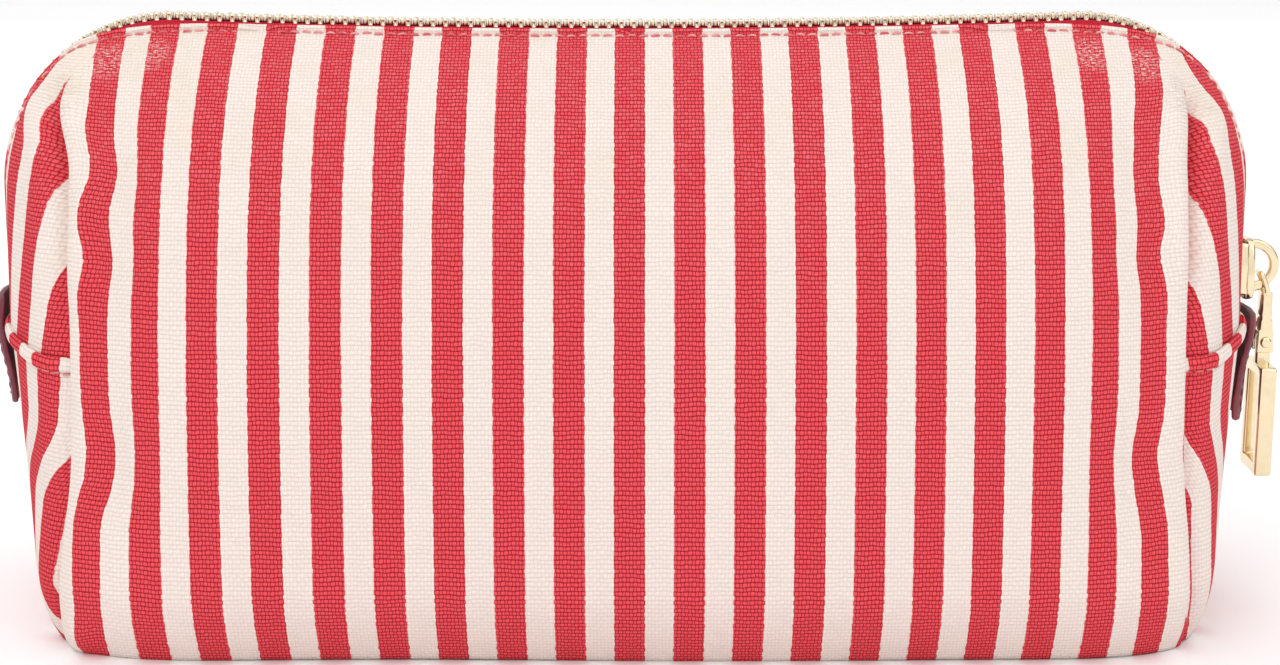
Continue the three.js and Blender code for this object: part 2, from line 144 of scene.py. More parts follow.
def mesh_object(name: str, points: Array, faces: list, uvs: Array | None = None) -> bpy.types.Object:
    """A smooth-shaded object from points in millimetres.

    Args:
        name: The piece's name.
        points: Points, one row each.
        faces: Lists of corner indices.
        uvs: One pair for each face corner, in face order.

    Returns:
        The new object, at the origin.
    """
    mesh = bpy.data.meshes.new(name)
    mesh.from_pydata((np.asarray(points, float) * MM).tolist(), [], faces)
    if uvs is not None:
        layer = mesh.uv_layers.new(name="Cloth")
        layer.uv.foreach_set("vector", np.asarray(uvs, np.float32).ravel())
    mesh.validate()
    mesh.update()
    mesh.shade_smooth()
    piece = bpy.data.objects.new(name, mesh)
    bpy.context.scene.collection.objects.link(piece)
    return piece


@dataclass
class Surface:
    """Points and faces of one or more grids, gathered into one mesh."""

    points: list = field(default_factory=list)
    faces: list = field(default_factory=list)
    corner_uvs: list = field(default_factory=list)
    count: int = 0

    def add_grid(self, grid: Array, close_rows: bool = False, close_columns: bool = False,
                 caps: bool = False, uv: Array | None = None, keep: Array | None = None,
                 flip: bool = False, beyond: tuple[Array, Array] | None = None) -> None:
        """Adds a grid of points.

        Args:
            grid: Points as rows x columns x 3.
            close_rows: Joins the last row to the first.
            close_columns: Joins the ends of each row.
            caps: Closes the first and last rows with fans.
            uv: Cloth coordinates as rows x columns x 2, one column more where rows are closed.
            keep: Mask of the quads to keep.
            flip: Turns the faces round.
            beyond: Cloth coordinates to use instead on some quads, and the mask of those quads.
        """
        rows, columns = grid.shape[:2]
        quads = grid_quads(rows, columns, close_rows, close_columns)
        if uv is not None:
            wide = grid_quads(rows, columns + 1, False, False) if close_columns else quads
            corners = uv.reshape(-1, 2)[wide]
            if beyond is not None:
                other = beyond[0].reshape(-1, 2)[wide]
                corners = np.where(beyond[1].ravel()[:, None, None], other, corners)
        if keep is not None:
            quads = quads[keep.ravel()]
            corners = corners[keep.ravel()] if uv is not None else None
        if flip:
            quads = quads[:, ::-1]
            corners = corners[:, ::-1] if uv is not None else None
        self.faces += (quads + self.count).tolist()
        if uv is not None:
            self.corner_uvs.append(corners.reshape(-1, 2))
        self.points.append(grid.reshape(-1, 3))
        if caps:
            self._add_caps(grid, flip)
        self.count += sum(len(p) for p in self.points[-1 - 2 * caps:]) if caps else rows * columns

    def _add_caps(self, grid: Array, flip: bool) -> None:
        """Closes the first and last rows of a grid with a fan about each row's middle."""
        rows, columns = grid.shape[:2]
        ring = np.arange(columns)
        after = (ring + 1) % columns
        first, last = self.count + rows * columns, self.count + rows * columns + 1
        low = np.stack([np.full(columns, first), ring + self.count, after + self.count], 1)
        top = self.count + (rows - 1) * columns
        high = np.stack([np.full(columns, last), after + top, ring + top], 1)
        fans = np.concatenate([low, high])
        self.faces += (fans[:, ::-1] if flip else fans).tolist()
        self.points += [grid[0].mean(0)[None], grid[-1].mean(0)[None]]

    def build(self, name: str) -> bpy.types.Object:
        """Makes the gathered grids one object."""
        uvs = np.concatenate(self.corner_uvs) if self.corner_uvs else None
        return mesh_object(name, np.concatenate(self.points), self.faces, uvs)


def grid_piece(name: str, *grids: Array, **options: object) -> bpy.types.Object:
    """One piece from one or more grids that are added with the same options."""
    surface = Surface()
    for grid in grids:
        surface.add_grid(grid, **options)
    return surface.build(name)


def superellipse(count: int, power: float) -> tuple[Array, Array]:
    """Points round |x|^power + |y|^power = 1, as cosine and sine raised to 2 / power with their signs."""
    turn = np.linspace(0.0, 2.0 * np.pi, count, endpoint=False)
    c, s = np.cos(turn), np.sin(turn)
    return np.sign(c) * np.abs(c) ** (2.0 / power), np.sign(s) * np.abs(s) ** (2.0 / power)


def sweep(path: Array, across: Array, outward: Array, half_across: Array | float,
          half_out: Array | float, count: int = 10, power: float = 2.0) -> Array:
    """A superellipse section carried along a path.

    Each point is path + across * half_across * x(turn) + outward * half_out * y(turn).

    Args:
        path: Centre points, one row each.
        across: Unit vectors of the section's first direction, or one for the whole path.
        outward: Unit vectors of its second direction, or one for the whole path.
        half_across: Half size along the first direction.
        half_out: Half size along the second.
        count: Points round the section.
        power: Section exponent, 2 for an ellipse.

    Returns:
        A grid of points, one row for each path point.
    """
    x, y = superellipse(count, power)
    across, outward = np.broadcast_to(across, path.shape), np.broadcast_to(outward, path.shape)
    wide = np.broadcast_to(np.asarray(half_across, float), (len(path),))[:, None, None]
    tall = np.broadcast_to(np.asarray(half_out, float), (len(path),))[:, None, None]
    return (path[:, None, :] + across[:, None, :] * wide * x[None, :, None]
            + outward[:, None, :] * tall * y[None, :, None])


def scatter(template: Array, places: Array, frames: Array) -> Array:
    """Copies a template grid to many places.

    Args:
        template: Grid as rows x columns x 3, in its own axes.
        places: Centre of each copy.
        frames: Three unit vectors for each copy, the images of the template's axes.

    Returns:
        Copies x rows x columns x 3.
    """
    return places[:, None, None, :] + np.einsum("rci,nij->nrcj", template, frames)


def rounded_stack(levels: Array, rounding: float) -> Array:
    """Inset of a block's section at each level so that its ends round over by a quarter circle."""
    near = np.minimum(levels - levels[0], levels[-1] - levels)
    t = np.clip(1.0 - near / rounding, 0.0, 1.0)
    return rounding * (1.0 - np.sqrt(1.0 - t * t))


def rounding_levels(low: float, high: float, rounding: float, steps: int = 4, middle: int = 2) -> Array:
    """Levels from low to high that are close together where the ends round over."""
    t = rounding * (1.0 - np.cos(np.linspace(0.0, np.pi / 2.0, steps + 1)))
    inner = np.linspace(low + rounding, high - rounding, middle + 1)[1:-1]
    return np.concatenate([low + t, inner, (high - t)[::-1]])


# ---------------------------------------------------------------- node groups


class NodeGraph:
    """Short calls for adding and linking shader nodes in a tree."""

    def __init__(self, tree: bpy.types.NodeTree) -> None:
        """Keeps the tree."""
        self.tree = tree

    def add(self, kind: str, **values: object) -> bpy.types.Node:
        """Adds a node and sets its properties."""
        node = self.tree.nodes.new(kind)
        for key, value in values.items():
            setattr(node, key, value)
        return node

    def link(self, source: bpy.types.NodeSocket, target: bpy.types.NodeSocket) -> None:
        """Links two sockets."""
        self.tree.links.new(source, target)

    def feed(self, socket: bpy.types.NodeSocket, value: object) -> None:
        """Links a socket to a socket, or sets it to a value."""
        if isinstance(value, bpy.types.NodeSocket):
            self.link(value, socket)
        else:
            socket.default_value = value

    def math(self, operation: str, *values: object, clamp: bool = False) -> bpy.types.NodeSocket:
        """A Math node's result."""
        node = self.add("ShaderNodeMath", operation=operation, use_clamp=clamp)
        for socket, value in zip(node.inputs, values):
            self.feed(socket, value)
        return node.outputs[0]

    def product(self, *values: object) -> bpy.types.NodeSocket:
        """Several values multiplied together."""
        whole = values[0]
        for value in values[1:]:
            whole = self.math("MULTIPLY", whole, value)
        return whole

    def split(self, vector: object) -> bpy.types.NodeSocket:
        """The outputs of a Separate XYZ node."""
        node = self.add("ShaderNodeSeparateXYZ")
        self.feed(node.inputs[0], vector)
        return node.outputs

    def remap(self, value: object, low: float, high: float, to_low: float = 0.0,
              to_high: float = 1.0, smooth: bool = True) -> bpy.types.NodeSocket:
        """A clamped Map Range from low..high to to_low..to_high."""
        node = self.add("ShaderNodeMapRange")
        node.interpolation_type = "SMOOTHSTEP" if smooth else "LINEAR"
        for socket, number in zip(node.inputs, (value, low, high, to_low, to_high)):
            self.feed(socket, number)
        return node.outputs[0]

    def mix(self, share: object, first: object, second: object) -> bpy.types.NodeSocket:
        """A colour mix from first to second."""
        node = self.add("ShaderNodeMix", data_type="RGBA")
        self.feed(node.inputs[0], share)
        self.feed(node.inputs[6], first)
        self.feed(node.inputs[7], second)
        return node.outputs[2]

    def noise(self, vector: object, scale: float, detail: float = 3.0,
              roughness: float = 0.55) -> bpy.types.NodeSocket:
        """A noise texture's value."""
        node = self.add("ShaderNodeTexNoise")
        self.feed(node.inputs["Vector"], vector)
        node.inputs["Scale"].default_value = scale
        node.inputs["Detail"].default_value = detail
        node.inputs["Roughness"].default_value = roughness
        return node.outputs[0]

    def stretch(self, vector: object, scale: tuple[float, float, float]) -> bpy.types.NodeSocket:
        """A vector multiplied by a scale on each axis."""
        node = self.add("ShaderNodeMapping")
        self.feed(node.inputs["Vector"], vector)
        node.inputs["Scale"].default_value = scale
        return node.outputs[0]

    def object_place(self) -> bpy.types.NodeSocket:
        """Object coordinates."""
        return self.add("ShaderNodeTexCoord").outputs["Object"]

    def cloth_place(self) -> bpy.types.NodeSocket:
        """The piece's own cloth coordinates, in centimetres along and up the cloth."""
        return self.add("ShaderNodeUVMap", uv_map="Cloth").outputs[0]


def new_group(name: str, inputs: dict[str, tuple], outputs: dict[str, str]) -> tuple:
    """An empty shader node group.

    Args:
        name: The group's name.
        inputs: Socket type, default and name of each input.
        outputs: Socket type of each output.

    Returns:
        The tree, a NodeGraph on it, and its input and output nodes.
    """
    tree = bpy.data.node_groups.new(name, "ShaderNodeTree")
    for key, (kind, default) in inputs.items():
        socket = tree.interface.new_socket(key, in_out="INPUT", socket_type=kind)
        if default is not None:
            socket.default_value = default
    for key, kind in outputs.items():
        tree.interface.new_socket(key, in_out="OUTPUT", socket_type=kind)
    graph = NodeGraph(tree)
    return tree, graph, graph.add("NodeGroupInput"), graph.add("NodeGroupOutput")


def weave_group() -> bpy.types.NodeTree:
    """Plain weave of warp and thicker weft threads that pass over and under each other by turns.

    A thread's profile is |sin(pi t)|^0.7 across it. Where the weft is on top the height is its own
    profile, and where the warp is on top it is the warp's profile, lower between two weft rows.
    """
    tree, g, given, out = new_group(
        "PlainWeave",
        {"Place": ("NodeSocketVector", None), "Warp": ("NodeSocketFloat", 13.5),
         "Weft": ("NodeSocketFloat", 10.7), "Wobble": ("NodeSocketFloat", 0.25)},
        {"Height": "NodeSocketFloat", "Slub": "NodeSocketFloat", "Jag": "NodeSocketFloat"},
    )
    drift = g.noise(given.outputs["Place"], 2.5, 2.0, 0.5)
    along, up, _ = g.split(given.outputs["Place"])
    shift = g.product(g.math("SUBTRACT", drift, 0.5), given.outputs["Wobble"])
    u = g.math("ADD", g.product(along, given.outputs["Warp"]), shift)
    v = g.math("ADD", g.product(up, given.outputs["Weft"]), shift)
    column, row = g.math("FLOOR", u), g.math("FLOOR", v)
    parity = g.math("ABSOLUTE", g.math("MODULO", g.math("ADD", column, row), 2.0))

    def thread(place: bpy.types.NodeSocket) -> bpy.types.NodeSocket:
        """Height profile across one set of threads."""
        return g.math("POWER", g.math("ABSOLUTE", g.math("SINE", g.product(place, math.pi))), 0.7)

    warp, weft = thread(u), thread(v)
    above = g.product(weft, g.math("MULTIPLY_ADD", warp, 0.08, 0.92), parity)
    below = g.product(warp, g.math("MULTIPLY_ADD", weft, 0.55, 0.22), g.math("SUBTRACT", 1.0, parity))
    g.link(g.math("ADD", above, below), out.inputs["Height"])
    cells = g.add("ShaderNodeCombineXYZ")
    g.link(g.product(row, 0.37), cells.inputs[1])
    g.link(g.product(u, 0.09), cells.inputs[0])
    g.link(g.noise(cells.outputs[0], 4.0, 2.0), out.inputs["Slub"])
    edge = g.add("ShaderNodeTexWhiteNoise", noise_dimensions="1D")
    g.link(row, edge.inputs["W"])
    g.link(g.math("SUBTRACT", edge.outputs["Value"], 0.5), out.inputs["Jag"])
    return tree


def spot_group() -> bpy.types.NodeTree:
    """A soft round patch about a point, broken up by noise."""
    tree, g, given, out = new_group(
        "WornSpot",
        {"Place": ("NodeSocketVector", None), "Centre": ("NodeSocketVector", None),
         "Radius": ("NodeSocketFloat", 0.02), "Break": ("NodeSocketFloat", 0.5)},
        {"Mask": "NodeSocketFloat"},
    )
    gap = g.add("ShaderNodeVectorMath", operation="DISTANCE")
    g.link(given.outputs["Place"], gap.inputs[0])
    g.link(given.outputs["Centre"], gap.inputs[1])
    share = g.math("DIVIDE", gap.outputs["Value"], given.outputs["Radius"])
    rough = g.product(g.math("SUBTRACT", g.noise(given.outputs["Place"], 420.0, 4.0), 0.5),
                      given.outputs["Break"])
    g.link(g.remap(g.math("ADD", share, rough), 0.35, 1.0, 1.0, 0.0), out.inputs["Mask"])
    return tree


def handling_group() -> bpy.types.NodeTree:
    """Fine scratches and smudges of handled metal: thin stretched noise and a broad cloudy one."""
    tree, g, given, out = new_group(
        "HandledMetal",
        {"Place": ("NodeSocketVector", None), "Polish": ("NodeSocketFloat", 0.12)},
        {"Height": "NodeSocketFloat", "Roughness": "NodeSocketFloat", "Dull": "NodeSocketFloat"},
    )
    fine = g.noise(g.stretch(given.outputs["Place"], (900.0, 900.0, 120.0)), 1.0, 4.0)
    cloud = g.noise(given.outputs["Place"], 260.0, 3.0)
    g.link(fine, out.inputs["Height"])
    g.link(g.math("ADD", g.product(g.remap(cloud, 0.35, 0.75), 0.14), given.outputs["Polish"]),
           out.inputs["Roughness"])
    g.link(g.remap(cloud, 0.45, 0.8), out.inputs["Dull"])
    return tree


def grain_group() -> bpy.types.NodeTree:
    """Leather grain: small cells with soft creases between them, and a broad tone."""
    tree, g, given, out = new_group(
        "LeatherGrain",
        {"Place": ("NodeSocketVector", None), "Scale": ("NodeSocketFloat", 1500.0)},
        {"Height": "NodeSocketFloat", "Tone": "NodeSocketFloat"},
    )
    cells = g.add("ShaderNodeTexVoronoi", feature="DISTANCE_TO_EDGE")
    g.link(given.outputs["Place"], cells.inputs["Vector"])
    g.link(given.outputs["Scale"], cells.inputs["Scale"])
    g.link(g.remap(cells.outputs["Distance"], 0.0, 0.22), out.inputs["Height"])
    g.link(g.noise(given.outputs["Place"], 180.0, 3.0), out.inputs["Tone"])
    return tree


@dataclass
class Groups:
    """The node groups that the finishes share, each made once."""

    weave: bpy.types.NodeTree = field(default_factory=weave_group)
    spot: bpy.types.NodeTree = field(default_factory=spot_group)
    handling: bpy.types.NodeTree = field(default_factory=handling_group)
    grain: bpy.types.NodeTree = field(default_factory=grain_group)


# ---------------------------------------------------------------- finishes


def place_group(g: NodeGraph, tree: bpy.types.NodeTree, **values: object) -> bpy.types.Node:
    """Puts a node group in a graph with its values, whose names have _ for a space."""
    node = g.add("ShaderNodeGroup", node_tree=tree)
    for key, value in values.items():
        g.feed(node.inputs[key], value)
    return node


def start_material(name: str) -> tuple[bpy.types.Material, NodeGraph, bpy.types.Node]:
    """A material with one Principled shader, its graph and that shader."""
    material = bpy.data.materials.new(name)
    material.use_nodes = True
    shader = next(n for n in material.node_tree.nodes if n.type == "BSDF_PRINCIPLED")
    return material, NodeGraph(material.node_tree), shader


def raise_surface(g: NodeGraph, shader: bpy.types.Node, height: object, depth: float) -> None:
    """Feeds a height to the shader's normal through a Bump node.

    Args:
        g: The material's graph.
        shader: Its Principled shader.
        height: Height from 0 to 1.
        depth: Depth in millimetres of a full step.
    """
    node = g.add("ShaderNodeBump")
    node.inputs["Strength"].default_value = 1.0
    node.inputs["Distance"].default_value = depth * MM
    g.feed(node.inputs["Height"], height)
    g.link(node.outputs[0], shader.inputs["Normal"])


@dataclass(frozen=True)
class StripedCanvas:
    """Plain-weave cotton canvas with printed upright stripes, worn at the top corners, with painted shade in
    the gaps between its threads.
    """

    pitch: float = 12.0
    red_share: float = 0.517
    warp_per_cm: float = 13.6
    weft_per_cm: float = 10.7
    red: tuple = (0.83, 0.083, 0.103, 1.0)
    # painted shade: the darker red of the gaps between the threads
    red_gap_shade: tuple = (0.30, 0.002, 0.012, 1.0)
    red_faded: tuple = (0.84, 0.20, 0.21, 1.0)
    cream: tuple = (0.915, 0.80, 0.74, 1.0)
    # painted shade: the darker cream of the gaps between the threads
    cream_gap_shade: tuple = (0.80, 0.69, 0.63, 1.0)
    cream_aged: tuple = (0.84, 0.71, 0.56, 1.0)
    bared: tuple = (0.30, 0.25, 0.20, 1.0)
    worn_points: tuple = ((-0.1185, -0.0190, 0.1165), (0.1180, -0.0190, 0.1165),
                          (-0.1160, 0.0225, 0.1130), (0.1165, 0.0225, 0.1135))
    worn_radius: float = 0.0105
    rubbed_radius: float = 0.0065
    rubbed_points: tuple = ((-0.099, -0.0115, 0.1215), (-0.107, -0.0120, 0.1210), (0.107, -0.0125, 0.1205),
                            (0.096, -0.0115, 0.1215), (-0.102, 0.014, 0.1190), (0.100, 0.014, 0.1190))

    def build(self, groups: Groups) -> bpy.types.Material:
        """Makes the material from the shared groups."""
        material, g, shader = start_material("striped_canvas")
        cloth, place = g.cloth_place(), g.object_place()
        weave = place_group(g, groups.weave, Place=cloth, Warp=self.warp_per_cm, Weft=self.weft_per_cm,
                            Wobble=0.9)
        stripe = self._stripe(g, g.split(cloth)[0], weave.outputs["Jag"])
        # painted shade: lit follows the weave's height, so the red and cream darken where the weave is low,
        # between the threads
        lit, slub = g.remap(weave.outputs["Height"], 0.05, 0.80), weave.outputs["Slub"]
        upper = g.remap(g.split(place)[2], 0.060, 0.122)
        blotch = g.remap(g.noise(place, 60.0, 3.0), 0.40, 0.72)
        aged = g.mix(g.product(upper, blotch, 0.55), self.cream, self.cream_aged)
        cream = g.mix(lit, self.cream_gap_shade, aged)
        faded = g.product(g.remap(slub, 0.35, 0.75), g.math("MULTIPLY_ADD", upper, 0.45, 0.12))
        red = g.mix(lit, self.red_gap_shade, g.mix(faded, self.red, self.red_faded))
        colour = g.mix(stripe, cream, red)
        colour = self._wear(g, groups, cloth, place, colour)
        g.link(colour, shader.inputs["Base Color"])
        g.link(g.remap(slub, 0.3, 0.8, 0.88, 0.98), shader.inputs["Roughness"])
        shader.inputs["Specular IOR Level"].default_value = 0.08
        raise_surface(g, shader, g.math("MULTIPLY_ADD", slub, 0.35, weave.outputs["Height"]), 0.20)
        return material

    def _wear(self, g: NodeGraph, groups: Groups, cloth: object, place: object, colour: object) -> object:
        """Bared grey-brown threads at the corners and pale fuzz with dark specks beside them."""
        worn = self._spots(g, groups, place, self.worn_points, self.worn_radius)
        rubbed = self._spots(g, groups, place, self.rubbed_points, self.rubbed_radius)
        rows = g.remap(g.noise(g.stretch(cloth, (4.0, 46.0, 1.0)), 1.0, 3.0), 0.50, 0.60)
        fuzz = g.remap(g.noise(g.stretch(cloth, (9.0, 30.0, 1.0)), 1.0, 3.0), 0.52, 0.60)
        colour = g.mix(g.product(rubbed, fuzz, 0.60), colour, self.cream)
        colour = g.mix(g.product(worn, rows, 0.70), colour, self.bared)
        speck = g.remap(g.noise(cloth, 30.0, 2.0), 0.63, 0.69)
        return g.mix(g.product(rubbed, speck, 0.55), colour, self.bared)

    def _stripe(self, g: NodeGraph, along: object, jag: object) -> object:
        """1 on the red stripes: the distance from a stripe's middle against its half width."""
        pitches = g.product(along, MM_PER_CM / self.pitch)
        nearest = g.math("SUBTRACT", pitches, g.math("ROUND", pitches))
        edge = g.math("ADD", g.math("ABSOLUTE", nearest), g.product(jag, 0.018))
        half = self.red_share / 2.0
        return g.remap(edge, half - 0.008, half + 0.008, 1.0, 0.0)

    def _spots(self, g: NodeGraph, groups: Groups, place: object, points: tuple, radius: float) -> object:
        """The strongest of several worn spots."""
        whole = 0.0
        for point in points:
            spot = place_group(g, groups.spot, Place=place, Centre=point, Radius=radius, Break=0.7)
            whole = g.math("MAXIMUM", whole, spot.outputs["Mask"])
        return whole


@dataclass(frozen=True)
class WovenTape:
    """Close-woven tape or lining in one colour, with painted shade in the gaps between its threads."""

    name: str
    colour: tuple
    # painted shade: the colour of the gaps between the threads
    dark: tuple
    threads_per_cm: float
    depth: float
    roughness: float = 0.85

    def build(self, groups: Groups) -> bpy.types.Material:
        """Makes the material from the shared groups."""
        material, g, shader = start_material(self.name)
        weave = place_group(g, groups.weave, Place=g.cloth_place(), Warp=self.threads_per_cm,
                            Weft=self.threads_per_cm, Wobble=0.4)
        # painted shade: the colour darkens towards the gap colour where the weave is low, between the threads
        colour = g.mix(g.remap(weave.outputs["Height"], 0.0, 0.7), self.dark, self.colour)
        g.link(colour, shader.inputs["Base Color"])
        shader.inputs["Roughness"].default_value = self.roughness
        shader.inputs["Specular IOR Level"].default_value = 0.25
        raise_surface(g, shader, weave.outputs["Height"], self.depth)
        return material


@dataclass(frozen=True)
class SewingThread:
    """Twisted sewing thread, seen as slanted plies along each stitch."""

    name: str = "sewing_thread"
    colour: tuple = (0.66, 0.10, 0.13, 1.0)
    pale: tuple = (0.82, 0.40, 0.38, 1.0)

    def build(self) -> bpy.types.Material:
        """Makes the material."""
        material, g, shader = start_material(self.name)
        place = g.object_place()
        plies = g.noise(g.stretch(place, (1500.0, 2600.0, 1500.0)), 1.0, 2.0)
        fade = g.noise(place, 300.0, 2.0)
        colour = g.mix(g.remap(fade, 0.35, 0.7), self.colour, self.pale)
        g.link(colour, shader.inputs["Base Color"])
        shader.inputs["Roughness"].default_value = 0.7
        raise_surface(g, shader, plies, 0.08)
        return material


@dataclass(frozen=True)
class PolishedMetal:
    """Plated or plain metal with handling marks."""

    name: str
    colour: tuple
    dull: tuple
    polish: float

    def build(self, groups: Groups) -> bpy.types.Material:
        """Makes the material from the shared groups."""
        material, g, shader = start_material(self.name)
        marks = place_group(g, groups.handling, Place=g.object_place(), Polish=self.polish)
        colour = g.mix(g.product(marks.outputs["Dull"], 0.5), self.colour, self.dull)
        g.link(colour, shader.inputs["Base Color"])
        g.link(marks.outputs["Roughness"], shader.inputs["Roughness"])
        shader.inputs["Metallic"].default_value = 1.0
        raise_surface(g, shader, marks.outputs["Height"], 0.006)
        return material


@dataclass(frozen=True)
class BurgundyLeather:
    """Fine-grained leather with slightly lighter worn high spots."""

    colour: tuple = (0.165, 0.022, 0.036, 1.0)
    worn: tuple = (0.30, 0.055, 0.07, 1.0)

    def build(self, groups: Groups) -> bpy.types.Material:
        """Makes the material from the shared groups."""
        material, g, shader = start_material("burgundy_leather")
        grain = place_group(g, groups.grain, Place=g.object_place(), Scale=1500.0)
        colour = g.mix(g.remap(grain.outputs["Tone"], 0.45, 0.8), self.colour, self.worn)
        g.link(colour, shader.inputs["Base Color"])
        g.link(g.remap(grain.outputs["Tone"], 0.3, 0.8, 0.42, 0.58), shader.inputs["Roughness"])
        raise_surface(g, shader, grain.outputs["Height"], 0.07)
        return material


@dataclass
class Finishes:
    """Every finish of the bag, made once."""

    groups: Groups = field(default_factory=Groups)

    def __post_init__(self) -> None:
        """Builds the materials."""
        self.canvas = StripedCanvas().build(self.groups)
        # The second colour of each tape is painted shade for the gaps between its threads.
        self.tape = WovenTape("zip_tape_cloth", (0.60, 0.012, 0.035, 1.0), (0.22, 0.004, 0.012, 1.0),
                              22.0, 0.10).build(self.groups)
        self.lining = WovenTape("lining_cotton", (0.80, 0.74, 0.64, 1.0), (0.50, 0.45, 0.37, 1.0),
                                26.0, 0.06).build(self.groups)
        self.thread = SewingThread().build()
        self.leather_thread = SewingThread("burgundy_thread", (0.13, 0.015, 0.028, 1.0),
                                           (0.22, 0.04, 0.05, 1.0)).build()
        self.gold = PolishedMetal("polished_gold", (0.87, 0.73, 0.50, 1.0), (0.76, 0.61, 0.40, 1.0),
                                  0.07).build(self.groups)
        self.teeth = PolishedMetal("zip_teeth_metal", (0.80, 0.70, 0.55, 1.0), (0.45, 0.37, 0.27, 1.0),
                                   0.20).build(self.groups)
        self.leather = BurgundyLeather().build(self.groups)


def dress(piece: bpy.types.Object, material: bpy.types.Material, body: str,
          replaces: tuple[str, ...] = ()) -> bpy.types.Object:
    """Gives a piece its material, body, slot and the frame nodes that it stands for."""
    piece.data.materials.clear()
    piece.data.materials.append(material)
    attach(piece, body)
    if replaces:
        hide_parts(*replaces)
    LOG.info("%s: %d points on %s", piece.name, len(piece.data.vertices), body)
    return piece


def thicken(piece: bpy.types.Object, thickness: float) -> None:
    """Gives a sheet its wall, inwards from the surface that was built."""
    wall = piece.modifiers.new("Wall", "SOLIDIFY")
    wall.thickness = thickness * MM
    wall.offset = -1.0
    wall.use_even_offset = False


# ---------------------------------------------------------------- the sewn body


